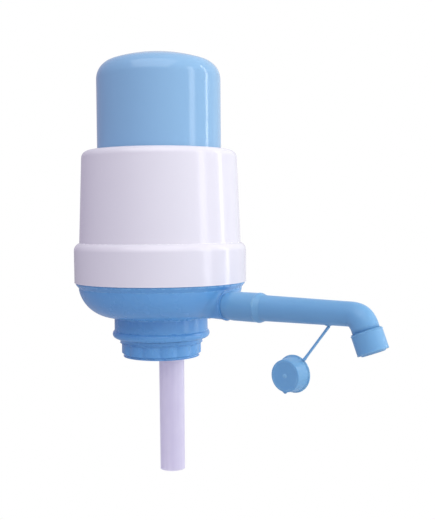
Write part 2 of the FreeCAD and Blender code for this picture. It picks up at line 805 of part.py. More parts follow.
def make_spout_hub():
    body = new_body("spout_hub")
    place(body, 0, 0, D.spout_height)
    spigot = D.socket_bore_radius - D.fit_gap
    groove = D.socket_bore_radius - 2 * D.o_ring_radius
    half_slot = D.o_ring_radius + D.seat_gap
    shoulder = D.socket_mouth + D.hub_shoulder_gap
    soft = D.soft_edge
    bead_low = bead_groove_x + soft
    bead_high = bead_groove_x + D.bead_groove_width - soft
    bead = D.socket_bore_radius + D.bead_groove_depth - D.run_gap
    lip_start = D.hub_end - D.hub_lip_width
    corners = [(hub_start, D.hub_bore_radius), (hub_start, spigot - soft),
               (hub_start + soft, spigot), (bead_low, spigot), (bead_low, bead), (bead_high, bead),
               (bead_high, spigot)]
    for place_x in o_ring_places:
        corners += [(place_x - half_slot, spigot), (place_x - half_slot, groove),
                    (place_x + half_slot, groove), (place_x + half_slot, spigot)]
    corners += [(shoulder, spigot), (shoulder, D.hub_radius - D.hub_lead_drop),
                (shoulder + D.hub_lead, D.hub_radius),
                (lip_start, D.hub_radius), (lip_start, D.hub_radius + D.hub_lip),
                (D.hub_end, D.hub_radius + D.hub_lip),
                (D.hub_end + D.hub_chamfer, D.spout_radius + D.seat_gap),
                (D.hub_end + D.hub_chamfer, D.spout_radius), (spout_start, D.spout_radius),
                (spout_start, D.hub_bore_radius)]
    turned(body, "hub", corners, axis="H_Axis")


def make_spout_tube():
    body = new_body("spout_tube")
    place(body, 0, 0, D.spout_height)
    straight_end = D.hub_end + D.hub_chamfer
    inner = D.spout_radius - D.spout_wall
    end_inner = D.spout_end_radius - D.spout_wall
    turned(body, "straight", [
        (spout_start, inner), (spout_start, D.spout_radius), (straight_end, D.spout_radius),
        (D.spout_taper_end, D.spout_end_radius), (D.spout_taper_end, end_inner),
        (straight_end, inner)], axis="H_Axis")
    doc.recompute()
    section = new_sketch(body, "elbow_section", "YZ_Plane", D.spout_taper_end)
    add_circle(section, 0, 0, D.spout_end_radius)
    add_circle(section, 0, 0, end_inner)
    path = new_sketch(body, "elbow_path", "XZ_Plane")
    end_x, end_z = on_nozzle(D.nozzle_reach - D.nozzle_mouth)
    add_outline(path, [
        (D.spout_taper_end, 0), (D.elbow_start, 0, D.elbow_radius, 1),
        (elbow_end_x, -elbow_end_drop), (end_x, end_z - D.spout_height)], closed=False)
    elbow = body.newObject("PartDesign::AdditivePipe", "elbow")
    elbow.Profile = section
    elbow.Spine = path


def make_nozzle_sleeve():
    body = new_body("nozzle_sleeve")
    x, z = on_nozzle(D.nozzle_reach)
    place(body, x, 0, z, TURN(V(0, 1, 0), 180 - nozzle_tilt.value))
    bind(body, "Placement.Rotation.Angle", 180 - nozzle_tilt)
    start = -D.nozzle_length
    bore = D.nozzle_radius - D.nozzle_wall
    edge = D.nozzle_edge_round
    lip_end = start + D.nozzle_lip_width
    lip = D.nozzle_radius + D.nozzle_lip
    turned(body, "sleeve", [
        (D.spout_end_radius, start), (lip, start), (lip, lip_end), (D.nozzle_radius, lip_end),
        (D.nozzle_radius, -edge, edge, -1), (D.nozzle_radius - edge, 0), (bore, 0),
        (bore, -D.nozzle_mouth), (D.spout_end_radius, -D.nozzle_mouth)])


def make_o_rings():
    rings = []
    for index, place_x in enumerate(o_ring_places):
        ring = doc.addObject("Part::Torus", f"o_ring_{index}")
        bind(ring, "Radius1", D.socket_bore_radius - D.o_ring_radius)
        bind(ring, "Radius2", D.o_ring_radius - D.grip_gap)
        place(ring, place_x, 0, D.spout_height, TURN(V(0, 1, 0), 90))
        rings.append(ring)
    joined = doc.addObject("Part::Compound", "spout_o_rings")
    joined.Links = rings
    joined.Label = "spout_o_rings"


# Strap and dust cap under the spout

def strap_points():
    """Hinge point under the spout, strap direction and the dust cap's centre."""
    share = (D.strap_x - D.hub_end - D.hub_chamfer) / (D.spout_taper_end - D.hub_end - D.hub_chamfer)
    tube = D.spout_radius - share * (D.spout_radius - D.spout_end_radius)
    hinge_z = D.spout_height - tube - D.strap_drop - D.strap_thick / 2
    far = D.strap_length + D.run_gap + D.dust_flange_radius
    centre_x = D.strap_x - far * sine(D.strap_angle)
    centre_z = hinge_z - far * cosine(D.strap_angle)
    return hinge_z, centre_x, centre_z


def make_cap_strap():
    hinge_z, centre_x, centre_z = strap_points()
    body = new_body("cap_strap")
    place(body, D.strap_x, 0, hinge_z, TURN(V(0, 1, 0), 180 + D.strap_angle.value))
    bind(body, "Placement.Rotation.Angle", 180 + D.strap_angle)
    half = D.strap_thick / 2
    sketch = new_sketch(body, "strap_outline", "XZ_Plane", -D.strap_width / 2)
    add_outline(sketch, [(half, 0), (half, D.strap_length), (-half, D.strap_length),
                         (-half, 0, half * 1.0001, -1)])
    strap = body.newObject("PartDesign::Pad", "strap")
    strap.Profile = sketch
    bind(strap, "Length", D.strap_width)


def make_dust_cap():
    hinge_z, centre_x, centre_z = strap_points()
    body = new_body("dust_cap")
    place(body, centre_x, 0, centre_z, TURN(V(1, 0, 0), -90))
    inner = D.nozzle_radius + D.nozzle_lip + D.dust_cup_gap
    outer = inner + D.dust_cup_wall
    mouth = D.dust_flange_thick / 2
    face = mouth - D.dust_cup_depth
    edge = D.dust_edge_round
    gate = D.dust_gate_radius
    turned(body, "cup", [
        (0, face - D.dust_gate_height), (gate, face - D.dust_gate_height), (gate, face),
        (outer - edge, face, edge, -1), (outer, face + edge), (outer, -mouth),
        (D.dust_flange_radius, -mouth), (D.dust_flange_radius, mouth), (inner, mouth),
        (inner, face + D.dust_face_thick), (0, face + D.dust_face_thick)])
    doc.recompute()
    sketch = new_sketch(body, "tab_outline", "XY_Plane", -mouth)
    angle = D.strap_angle
    half = D.dust_tab_width / 2
    low = D.dust_flange_radius - D.dust_cup_wall
    high = D.dust_flange_radius + D.dust_tab
    soft = 2 * D.soft_edge
    corners = []
    for along, side in ((low, half), (high - soft, half), (high, half - soft), (high, soft - half),
                        (high - soft, -half), (low, -half)):
        corners.append((-along * sine(angle) - side * cosine(angle),
                        along * cosine(angle) - side * sine(angle)))
    add_outline(sketch, corners)
    tab = body.newObject("PartDesign::Pad", "tab")
    tab.Profile = sketch
    bind(tab, "Length", D.dust_flange_thick)


MAKERS = [make_neck_adaptor, make_neck_seal, make_base_bowl, make_housing_shell, make_press_cap,
          make_bellows, make_bellows_plug, make_clamp_ring, make_clamp_screws, make_valve_block,
          make_intake_valve, make_outlet_valve, make_dip_tube, make_tube_seal, make_channel_gasket,
          make_spout_hub, make_spout_tube, make_nozzle_sleeve, make_o_rings, make_cap_strap,
          make_dust_cap]
for maker in MAKERS:
    maker()
doc.recompute()

# Every object up to date, every shape closed and valid, then one file each

for thing in doc.Objects:
    if "Invalid" in thing.State or "Error" in thing.State:
        raise RuntimeError(f"{thing.Name} did not compute: {thing.State}")

pieces = [thing for thing in doc.Objects
          if thing.TypeId in ("PartDesign::Body", "Part::Compound")]
os.makedirs("parts", exist_ok=True)
for piece in pieces:
    shape = piece.Shape
    if shape.isNull() or not shape.isValid() or not shape.Solids:
        raise RuntimeError(f"{piece.Label} has no valid shape")
    print(f"{piece.Label}: {len(shape.Solids)} solid, {shape.Volume:.1f} mm3")
for piece in pieces:
    piece.Shape.exportStep(f"parts/{piece.Label}.step")
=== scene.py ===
# %% [markdown]
# # A hand pump for a water jug
# The pump is a stack of moulded plastic pieces: a blue press cap, a glossy white housing, a blue bowl
# with its collar, a fluted neck adaptor, a turning spout with a strapped dust cap, and a milky dip tube.
# The frame below already holds every piece at its real size and place. Here each piece that shows is
# made again as a finer mesh, because a moulded piece is told from a machined one by its small rounded
# edges, and those are what the light catches.

# %% Load the frame
import math
import bpy
import bmesh
import numpy as np
from mathutils import Matrix, Vector


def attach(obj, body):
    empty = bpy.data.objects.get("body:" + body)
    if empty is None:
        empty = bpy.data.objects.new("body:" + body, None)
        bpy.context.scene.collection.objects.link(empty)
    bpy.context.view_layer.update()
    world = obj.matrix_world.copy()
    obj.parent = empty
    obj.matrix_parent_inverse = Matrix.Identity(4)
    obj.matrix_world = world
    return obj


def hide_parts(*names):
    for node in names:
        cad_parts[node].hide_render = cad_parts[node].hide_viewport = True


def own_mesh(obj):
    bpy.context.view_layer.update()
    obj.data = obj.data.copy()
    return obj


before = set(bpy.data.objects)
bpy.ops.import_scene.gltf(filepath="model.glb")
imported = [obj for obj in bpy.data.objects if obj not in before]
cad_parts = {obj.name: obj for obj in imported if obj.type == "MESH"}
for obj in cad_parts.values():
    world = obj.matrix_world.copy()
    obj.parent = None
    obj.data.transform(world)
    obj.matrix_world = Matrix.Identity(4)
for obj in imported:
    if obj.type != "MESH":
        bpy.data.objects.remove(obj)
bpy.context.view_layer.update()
MM = 0.001
print("nodes:", len(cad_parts))

# %% [markdown]
# ## The camera
# The photograph is taken from a little above the collar, with the spout coming towards the lens at
# about 38 degrees. Its focal length comes from how round the rims look at different heights: they go
# flat at the camera's own height, near the middle of the white housing. The camera comes first, so
# that every later choice can be judged in the photograph's own frame.

# %% Place the camera
VIEW_TURN = 37.64
VIEW_DISTANCE = 581.9
VIEW_HEIGHT = 92.34
VIEW_SIDE = 38.55
VIEW_PITCH = 2.757
VIEW_ROLL = -0.466
FOCAL_PIXELS = 860.6
IMAGE_HEIGHT = 520
SENSOR = 36.0


def sideways(turn):
    """The level direction to the right of a camera that looks in from that turn."""
    angle = math.radians(turn)
    return Vector((math.cos(angle), math.sin(angle), 0))


def backwards(turn):
    """The level direction from the pump towards a camera at that turn."""
    angle = math.radians(turn)
    return Vector((math.sin(angle), -math.cos(angle), 0))


def add(name, data):
    """A new object for this data, in the scene."""
    thing = bpy.data.objects.new(name, data)
    bpy.context.scene.collection.objects.link(thing)
    return thing


def make_camera():
    lens = bpy.data.cameras.new("camera")
    lens.sensor_fit = "AUTO"
    lens.sensor_width = SENSOR
    lens.lens = FOCAL_PIXELS * SENSOR / IMAGE_HEIGHT
    camera = add("camera", lens)
    place = backwards(VIEW_TURN) * VIEW_DISTANCE + sideways(VIEW_TURN) * VIEW_SIDE
    camera.location = (place + Vector((0, 0, VIEW_HEIGHT))) * MM
    pitch = math.radians(VIEW_PITCH)
    ahead = -backwards(VIEW_TURN) * math.cos(pitch) - Vector((0, 0, math.sin(pitch)))
    camera.rotation_mode = "QUATERNION"
    level = ahead.to_track_quat("-Z", "Y")
    camera.rotation_quaternion = level @ Matrix.Rotation(math.radians(VIEW_ROLL), 3, "Z").to_quaternion()
    bpy.context.scene.camera = camera
    return camera


camera = make_camera()
bpy.context.scene.view_settings.view_transform = "Standard"
print("lens", round(camera.data.lens, 2), "mm")

# %% [markdown]
# ## Shader arithmetic
# A finish is mostly sums and products of masks. Writing them as Python expressions keeps the recipe
# readable, so one small class wraps a socket and turns + - * into Math nodes, and one method adds
# every other kind of node.

# %% A socket that can be added and multiplied


class Wire:
    """A value in a material. Arithmetic on it adds Math nodes."""

    def __init__(self, paint, socket):
        self.paint = paint
        self.socket = socket

    def math(self, operation, *values, clamp=False):
        inputs = {index: value for index, value in enumerate(values)}
        return self.paint.node("ShaderNodeMath", {"operation": operation, "use_clamp": clamp}, inputs)

    def __add__(self, other):
        return self.math("ADD", self, other)

    def __radd__(self, other):
        return self.math("ADD", other, self)

    def __sub__(self, other):
        return self.math("SUBTRACT", self, other)

    def __rsub__(self, other):
        return self.math("SUBTRACT", other, self)

    def __mul__(self, other):
        return self.math("MULTIPLY", self, other)

    def __rmul__(self, other):
        return self.math("MULTIPLY", other, self)

    def limited(self):
        return self.math("ADD", self, 0.0, clamp=True)

    def between(self, low, high):
        """0 below low, 1 above high and a smooth climb between."""
        settings = {"interpolation_type": "SMOOTHSTEP"}
        inputs = {"Value": self, "From Min": low, "From Max": high}
        return self.paint.node("ShaderNodeMapRange", settings, inputs)


class Paint:
    """A material that starts with one Principled shader, or a node tree that is given."""

    def __init__(self, name, tree=None):
        if tree:
            self.tree = tree
            return
        self.material = bpy.data.materials.new(name)
        self.material.use_nodes = True
        self.tree = self.material.node_tree
        self.tree.nodes.clear()
        self.output = self.tree.nodes.new("ShaderNodeOutputMaterial")
        self.shader = self.tree.nodes.new("ShaderNodeBsdfPrincipled")
        self.tree.links.new(self.shader.outputs[0], self.output.inputs["Surface"])

    def feed(self, socket, value):
        if isinstance(value, Wire):
            self.tree.links.new(value.socket, socket)
        else:
            socket.default_value = value

    def node(self, kind, settings=None, inputs=None, output=0):
        """Adds a node: its settings first, then its sockets. Returns one output as a Wire."""
        made = self.tree.nodes.new(kind)
        for field, value in (settings or {}).items():
            setattr(made, field, value)
        for name, value in (inputs or {}).items():
            self.feed(made.inputs[name], value)
        return Wire(self, made.outputs[output])

    def place(self, stretch=(1, 1, 1)):
        """Object coordinates in metres, stretched along each axis."""
        start = self.node("ShaderNodeTexCoord", output="Object")
        return self.node("ShaderNodeMapping", None, {"Vector": start, "Scale": stretch})

    def noise(self, scale, detail=3.0, rough=0.5, stretch=(1, 1, 1)):
        inputs = {"Vector": self.place(stretch), "Scale": scale, "Detail": detail, "Roughness": rough}
        return self.node("ShaderNodeTexNoise", None, inputs)

    def blend(self, factor, first, second, kind="MIX"):
        """Mixes two colours."""
        settings = {"data_type": "RGBA", "blend_type": kind}
        return self.node("ShaderNodeMix", settings, {0: factor, 6: first, 7: second}, output=2)

    def bump(self, height, distance, strength=1.0):
        inputs = {"Height": height, "Distance": distance, "Strength": strength}
        return self.node("ShaderNodeBump", None, inputs)

    def set(self, **sockets):
        """Feeds sockets of the Principled shader: Base_Color for Base Color."""
        for name, value in sockets.items():
            self.feed(self.shader.inputs[name.replace("_", " ")], value)
        return self.material


def colour(red, green, blue):
    """A screen colour from 0 to 255, as the linear values that a shader takes."""
    shares = [value / 255 for value in (red, green, blue)]
    linear = [share / 12.92 if share < 0.04045 else ((share + 0.055) / 1.055) ** 2.4 for share in shares]
    return (*linear, 1.0)


print("shader helpers ready")

# %% [markdown]
# ## Moulded plastic
# All the rigid pieces are injection moulded. Such a skin is never perfectly even: the pigment has faint
# flow clouds, the steel of the mould leaves a fine orange peel, handling leaves smudges and hairlines,
# and the rims turn a little paler where they rub. The recipe is one function, so that every piece gets
# the same kinds of detail at its own strength. A mesh attribute called edge says where the rims are.

# %% The moulded plastic recipe


def moulded(name, base, worn, gloss, flow=0.05, peel=0.00002, hairline=0.12, smudge=0.08,
            soft=0.0, soft_colour=None):
    """Moulded plastic: base and worn colours, gloss as roughness, and how strong each flaw is."""
    paint = Paint(name)
    clouds = paint.noise(22.0, 3.0, 0.55)
    fine_clouds = paint.noise(140.0, 2.0, 0.5)
    tone = 1.0 + (clouds - 0.5) * flow + (fine_clouds - 0.5) * (flow * 0.5)
    tone_vector = paint.node("ShaderNodeCombineXYZ", None, {0: tone, 1: tone, 2: tone})
    toned = paint.blend(1.0, base, tone_vector, "MULTIPLY")
    edge = paint.node("ShaderNodeAttribute", {"attribute_name": "edge"}, output="Fac")
    rub_noise = paint.noise(260.0, 4.0, 0.6)
    rub = (edge * rub_noise.between(0.38, 0.62)).limited()
    shade = paint.blend(rub * 0.55, toned, worn)
    hairs = paint.noise(900.0, 1.0, 0.4, stretch=(1.0, 1.0, 0.05)).between(0.66, 0.72)
    hair_field = paint.noise(34.0, 2.0, 0.5).between(0.5, 0.66)
    hair = hairs * hair_field
    touched = paint.noise(48.0, 3.0, 0.6).between(0.48, 0.7)
    rough = gloss + touched * smudge + hair * hairline + rub * 0.12 + (fine_clouds - 0.5) * 0.05
    grain = paint.noise(620.0, 2.0, 0.5)
    height = grain + clouds * 2.0 - hair * 0.6
    paint.set(Base_Color=shade, Roughness=rough.limited(), Normal=paint.bump(height, peel, 0.6),
              IOR=1.5)
    if soft:
        paint.set(Subsurface_Weight=soft, Subsurface_Radius=soft_colour, Subsurface_Scale=0.004)
    return paint.material


finish = {
    "cap_blue": moulded("press_cap_blue", colour(138, 181, 218), colour(172, 203, 232), 0.13,
                        flow=0.03, peel=0.000012, smudge=0.05),
    "base_blue": moulded("bowl_blue", colour(104, 166, 222), colour(138, 196, 236), 0.24, flow=0.04,
                         peel=0.00001, soft=0.1, soft_colour=(0.5, 0.8, 1.0)),
    "spout_blue": moulded("spout_blue", colour(112, 168, 213), colour(146, 196, 228), 0.36, flow=0.06,
                          peel=0.00004, soft=0.12, soft_colour=(0.5, 0.8, 1.0)),
    "shell_white": moulded("housing_white", colour(229, 225, 234), colour(240, 238, 243), 0.16,
                           flow=0.015, peel=0.00001, smudge=0.05),
    "valve_white": moulded("valve_white", colour(222, 224, 228), colour(236, 238, 240), 0.42, flow=0.04,
                           peel=0.00004),
}
print("moulded finishes:", sorted(finish))

# %% [markdown]
# ## Tube, rubber, bellows and steel
# The dip tube is extruded polyethylene, milky and smooth, with faint streaks along its length, and it
# carries a faint painted glow that lightens its shaded side. Rubber seals are dull, the bellows is cloudy
# and blow moulded, and the screws are brushed steel. Most of these are inside, but an opened or exported
# pump shows them, so each gets its own recipe.

# %% The milky tube


def extruded_tube():
    paint = Paint("milky_tube")
    streak = paint.noise(420.0, 2.0, 0.5, stretch=(1.0, 1.0, 0.02))
    cloud = paint.noise(60.0, 3.0, 0.55)
    shade = paint.blend((streak * 0.6 + cloud * 0.4).between(0.3, 0.7), colour(172, 166, 188),
                        colour(182, 177, 195))
    rough = 0.24 + streak * 0.1 + cloud * 0.06
    # The emission is a painted glow: a faint lilac light that lifts the tube's shaded side.
    return paint.set(Base_Color=shade, Roughness=rough, Normal=paint.bump(streak, 0.00002, 0.5),
                     Subsurface_Weight=0.8, Subsurface_Radius=(1.0, 0.95, 1.1),
                     Subsurface_Scale=0.006, Emission_Color=colour(240, 235, 255),
                     Emission_Strength=0.22, IOR=1.51)


def rubber():
    paint = Paint("seal_rubber")
    speck = paint.noise(500.0, 4.0, 0.6)
    shade = paint.blend(speck.between(0.35, 0.65), colour(196, 196, 190), colour(210, 210, 205))
    return paint.set(Base_Color=shade, Roughness=0.6 + speck * 0.15,
                     Normal=paint.bump(speck, 0.00004, 0.6))


def blown_bellows():
    paint = Paint("bellows_milk")
    cloud = paint.noise(70.0, 4.0, 0.6)
    shade = paint.blend(cloud.between(0.3, 0.7), colour(206, 212, 220), colour(224, 228, 233))
    return paint.set(Base_Color=shade, Roughness=0.36 + cloud * 0.14,
                     Normal=paint.bump(cloud, 0.00006, 0.5), Subsurface_Weight=0.2,
                     Subsurface_Radius=(1.0, 1.0, 1.0), Subsurface_Scale=0.003)


def brushed_steel():
    paint = Paint("screw_steel")
    lines = paint.noise(1500.0, 2.0, 0.5, stretch=(1.0, 0.05, 1.0))
    shade = paint.blend(lines.between(0.3, 0.7), colour(178, 179, 182), colour(208, 209, 212))
    return paint.set(Base_Color=shade, Metallic=1.0, Roughness=0.28 + lines * 0.14,
                     Normal=paint.bump(lines, 0.00002, 0.5))


finish["tube_clear"] = extruded_tube()
finish["seal_rubber"] = rubber()
finish["bellows_pe"] = blown_bellows()
finish["screw_steel"] = brushed_steel()
print("finishes:", len(finish))

# %% [markdown]
# ## Turned meshes with soft edges
# Most of the pump is round, so a piece is drawn as an outline of radius and height and turned about an
# axis. A corner of the outline can be given a radius, which becomes a short run of points, and a
# straight run gets one extra point close to each end. Those points hold the shading flat on the run,
# so the rounded rim alone catches the light, as it does on the real moulding.

# %% Round off an outline
HOLD = 0.25


def corner_arc(before, corner, after, radius):
    """Points of the arc that rounds off one corner."""
    back = np.subtract(before, corner)
    ahead = np.subtract(after, corner)
    back_length = np.linalg.norm(back)
    ahead_length = np.linalg.norm(ahead)
    back = back / back_length
    ahead = ahead / ahead_length
    opening = math.acos(max(-1.0, min(1.0, float(back @ ahead))))
    if radius <= 0 or opening > math.radians(178):
        return [tuple(corner)]
    reach = min(radius / math.tan(opening / 2), 0.48 * back_length, 0.48 * ahead_length)
    true_radius = reach * math.tan(opening / 2)
    middle = back + ahead
    centre = np.add(corner, middle / np.linalg.norm(middle) * (true_radius / math.sin(opening / 2)))
    start = np.add(corner, back * reach) - centre
    sweep = math.pi - opening
    side = 1.0 if start[0] * ahead[1] - start[1] * ahead[0] > 0 else -1.0
    steps = max(3, int(math.degrees(sweep) / 9) + 1)
    points = []
    for step in range(steps + 1):
        angle = side * sweep * step / steps
        turned = (start[0] * math.cos(angle) - start[1] * math.sin(angle),
                  start[0] * math.sin(angle) + start[1] * math.cos(angle))
        points.append((centre[0] + turned[0], centre[1] + turned[1]))
    return points


def soft_outline(corners, closed=True):
    """Turns (radius, height, rounding) corners into points and how much each is an edge."""
    count = len(corners)
    runs = []
    for index, corner in enumerate(corners):
        rounding = corner[2] if len(corner) > 2 else 0
        if not closed and index in (0, count - 1):
            runs.append(([tuple(corner[:2])], 0.0))
            continue
        before = corners[index - 1][:2]
        after = corners[(index + 1) % count][:2]
        points = corner_arc(before, corner[:2], after, rounding)
        rim = 1.0 if 0 < rounding < 1.6 else 0.0
        runs.append((points, rim))
    out = []
    for index, (points, rim) in enumerate(runs):
        out += [(point, rim) for point in points]
        if index == count - 1 and not closed:
            break
        last = np.array(points[-1])
        first = np.array(runs[(index + 1) % count][0][0])
        gap = np.linalg.norm(first - last)
        if gap > 3 * HOLD:
            ahead = (first - last) / gap
            out.append((tuple(last + ahead * HOLD), 0.0))
            pieces = int(gap / 9)
            for piece in range(1, pieces):
                out.append((tuple(last + (first - last) * piece / pieces), 0.0))
            out.append((tuple(first - ahead * HOLD), 0.0))
    return [point for point, rim in out], [rim for point, rim in out]


print("outline of a square with rounded corners:",
      len(soft_outline([(0, 0, 1), (10, 0, 1), (10, 10, 1), (0, 10, 1)])[0]), "points")

# %% Build a mesh from rings of points


def round_steps(count):
    """The angles of equal steps round a circle."""
    return [2 * math.pi * step / count for step in range(count)]


class Shell:
    """Collects rings of points into one mesh, with an edge value for each point."""

    def __init__(self):
        self.points = []
        self.rims = []
        self.faces = []

    def ring(self, places, rim):
        start = len(self.points)
        self.points += [tuple(place) for place in places]
        self.rims += [rim] * len(places)
        return list(range(start, start + len(places)))

    def bridge(self, low, high):
        """Quads between two rings, or triangles where one of them is a single point."""
        count = max(len(low), len(high))
        for index in range(count):
            after = (index + 1) % count
            if len(low) == 1:
                self.faces.append((low[0], high[after], high[index]))
            elif len(high) == 1:
                self.faces.append((low[index], low[after], high[0]))
            else:
                self.faces.append((low[index], low[after], high[after], high[index]))

    def lathe(self, corners, matrix=None, segments=160, closed=True, shape=None):
        """Turns an outline about local Z. shape(radius, height, angle) may move a point out or in."""
        outline, rims = soft_outline(corners, closed)
        matrix = matrix or Matrix.Identity(4)
        rings = []
        for (radius, height), rim in zip(outline, rims):
            if radius < 1e-6:
                rings.append(self.ring([matrix @ Vector((0, 0, height))], rim))
                continue
            places = []
            for angle in round_steps(segments):
                reach = shape(radius, height, angle) if shape else radius
                local = Vector((reach * math.cos(angle), reach * math.sin(angle), height))
                places.append(matrix @ local)
            rings.append(self.ring(places, rim))
        for low, high in zip(rings, rings[1:]):
            self.bridge(low, high)
        if closed:
            self.bridge(rings[-1], rings[0])
        return rings

    def make(self, name, body, nodes, material):
        """The finished object, in metres, riding on its body."""
        mesh = bpy.data.meshes.new(name)
        mesh.from_pydata([tuple(value * MM for value in point) for point in self.points], [], self.faces)
        mesh.update()
        work = bmesh.new()
        work.from_mesh(mesh)
        bmesh.ops.recalc_face_normals(work, faces=work.faces)
        work.to_mesh(mesh)
        work.free()
        attribute = mesh.attributes.new("edge", "FLOAT", "POINT")
        attribute.data.foreach_set("value", self.rims)
        mesh.shade_smooth()
        mesh.materials.append(material)
        thing = add(name, mesh)
        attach(thing, body)
        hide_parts(*nodes)
        print(name, len(self.points), "points")
        return thing


def shift(x=0.0, y=0.0, z=0.0):
    return Matrix.Translation((x, y, z))


ALONG_X = Matrix.Rotation(math.radians(90), 4, "Y")

# %% [markdown]
# ## The press cap
# The cap is one deep blue cup that the palm pushes down. Its top is a shallow crown that runs into the
# side through a wide rounding, and the foot of the cup has a stop flange, which the housing hides. A
# turned outline gives the whole cup, inside and out, so it stays right when the cap is pressed.

# %% Cap sizes and outline
CAP_RADIUS = 41.5
CAP_WALL = 2.2
CAP_STRAIGHT_TOP = 185.3
CAP_ROUND = 12.8
CROWN_TILT = 18.5
GUIDE_BOTTOM = 110.3
CAP_FLANGE = 4.1
CAP_FLANGE_HEIGHT = 4.9
SEAT_GAP = 0.1
CAP_BOTTOM = GUIDE_BOTTOM - SEAT_GAP - CAP_FLANGE_HEIGHT
BOSS_BORE = 9.6
BOSS_RADIUS = 12.0
BOSS_BOTTOM = 180.0


def dome(radius, rounding):
    """Points from the wall up over the rounding to the crown's middle, for one skin of the cap."""
    tilt = math.radians(CROWN_TILT)
    centre = radius - rounding
    points = []
    for step in range(19):
        angle = (math.pi / 2 - tilt) * step / 18
        points.append((centre + rounding * math.cos(angle), CAP_STRAIGHT_TOP + rounding * math.sin(angle)))
    join = points[-1]
    crown = join[0] / math.sin(tilt)
    top = join[1] - crown * math.cos(tilt)
    for step in range(1, 13):
        angle = tilt * (1 - step / 12)
        points.append((crown * math.sin(angle), top + crown * math.cos(angle)))
    points[-1] = (0.0, top + crown)
    return points


def make_press_cap():
    shell = Shell()
    outer = dome(CAP_RADIUS, CAP_ROUND)
    inner = dome(CAP_RADIUS - CAP_WALL, CAP_ROUND - CAP_WALL)
    flange = CAP_RADIUS + CAP_FLANGE
    flange_top = CAP_BOTTOM + CAP_FLANGE_HEIGHT
    corners = [(0.0, inner[-1][1])] + list(reversed(inner[:-1]))
    corners += [(CAP_RADIUS - CAP_WALL, CAP_BOTTOM, 0.4), (flange, CAP_BOTTOM, 0.4),
                (flange, flange_top, 0.6), (CAP_RADIUS, flange_top, 0.4)]
    corners += outer
    shell.lathe(corners, closed=False, segments=192)
    boss_top = inner[-1][1] + 0.6
    shell.lathe([(BOSS_BORE, BOSS_BOTTOM, 0.3), (BOSS_RADIUS, BOSS_BOTTOM, 0.3),
                 (BOSS_RADIUS, boss_top), (BOSS_BORE, boss_top)], segments=96)
    return shell.make("press_cap_shell", "press", ["press_cap"], finish["cap_blue"])


press_cap = make_press_cap()

# %% [markdown]
# ## The housing
# The white housing has a wide lower band, a rounded shoulder and an upper wall that tapers a little,
# as a moulding must to leave its mould. It is turned as a real shell with its wall and with the guide
# sleeve that the cap slides in. It is bare: nothing is printed on it.

# %% Housing sizes and outline
RIM_HEIGHT = 50.4
WALL = 2.4
BAND_TOP = RIM_HEIGHT + 21.4
UPPER_BOTTOM = BAND_TOP + 4.8
UPPER_TOP = UPPER_BOTTOM + 56.6
TOP_ROUND = 4.7
SHELL_TOP = UPPER_TOP + TOP_ROUND
SHELL_FOOT_RADIUS = 58.0
BAND_RADIUS = 57.8
UPPER_FOOT_RADIUS = 54.2
UPPER_TOP_RADIUS = 52.1
SHOULDER_TURN = 72.0
GUIDE_RADIUS = CAP_RADIUS + 0.3


def bend(start, end, turn, share_low=0.0, share_high=1.0, count=14):
    """Points of an arc that bulges away from the axis and turns by this angle between two points."""
    across = end[0] - start[0]
    rise = end[1] - start[1]
    half = math.radians(turn) / 2
    back = 1 / (2 * math.tan(half))
    centre = ((start[0] + end[0]) / 2 - rise * back, (start[1] + end[1]) / 2 + across * back)
    radius = math.hypot(across, rise) / (2 * math.sin(half))
    first = math.atan2(start[1] - centre[1], start[0] - centre[0])
    points = []
    for step in range(count + 1):
        share = share_low + (share_high - share_low) * step / count
        angle = first + 2 * half * share
        points.append((centre[0] + radius * math.cos(angle), centre[1] + radius * math.sin(angle)))
    return points


def make_housing():
    shell = Shell()
    inner_top = SHELL_TOP - WALL
    guide_outer = GUIDE_RADIUS + 2.1
    shoulder = bend((BAND_RADIUS, BAND_TOP), (UPPER_FOOT_RADIUS, UPPER_BOTTOM), SHOULDER_TURN)
    round_top = bend((UPPER_TOP_RADIUS, UPPER_TOP), (UPPER_TOP_RADIUS - TOP_ROUND, SHELL_TOP), 88.0)
    corners = [(SHELL_FOOT_RADIUS, RIM_HEIGHT, 0.15)] + shoulder[:-1]
    corners += [(UPPER_FOOT_RADIUS, UPPER_BOTTOM, 0.7)] + round_top
    corners += [(GUIDE_RADIUS, SHELL_TOP, 0.5), (GUIDE_RADIUS, GUIDE_BOTTOM, 0.3),
                (guide_outer, GUIDE_BOTTOM, 0.3), (guide_outer, inner_top, 0.5),
                (UPPER_TOP_RADIUS - WALL, inner_top, 3.0),
                (UPPER_FOOT_RADIUS - WALL, UPPER_BOTTOM - WALL, 0.5),
                (BAND_RADIUS - WALL, BAND_TOP - WALL, 0.5), (SHELL_FOOT_RADIUS - WALL, RIM_HEIGHT, 0.3)]
    shell.lathe(corners, segments=256)
    return shell.make("housing", "pump_body", ["housing_shell"], finish["shell_white"])


housing = make_housing()

# %% [markdown]
# ## The bowl and its collar
# Under the housing is the blue bowl: a lip that the housing sits on, a groove, a bowl like a quarter of
# an ellipse, and a straight collar with a round bead at its foot. The spout's socket grows out of the
# bowl's side. A sharp crease between the two would look like two pieces pushed together, so a curved
# web follows the line where the socket meets the bowl, as the fillet of a mould does.

# %% Bowl sizes and outline
COLLAR_RADIUS = 31.5
COLLAR_BORE = 28.6
COLLAR_BOTTOM = 12.4
BEAD_HEIGHT = 15.3
BEAD_CENTRE = 29.9
BEAD_RADIUS = 2.9
FLOOR_BOTTOM = 27.0
FLOOR_TOP = FLOOR_BOTTOM + WALL
BOWL_RADIUS = 54.85
BOWL_RISE = 18.4
BOWL_TURN = 80.0
LIP_BOTTOM = 46.6
LIP_RADIUS = 56.9
DECK_RADIUS = 53.2
LEDGE_RADIUS = 51.0
TUBE_OFFSET = 9.0
TUBE_RADIUS = 8.55


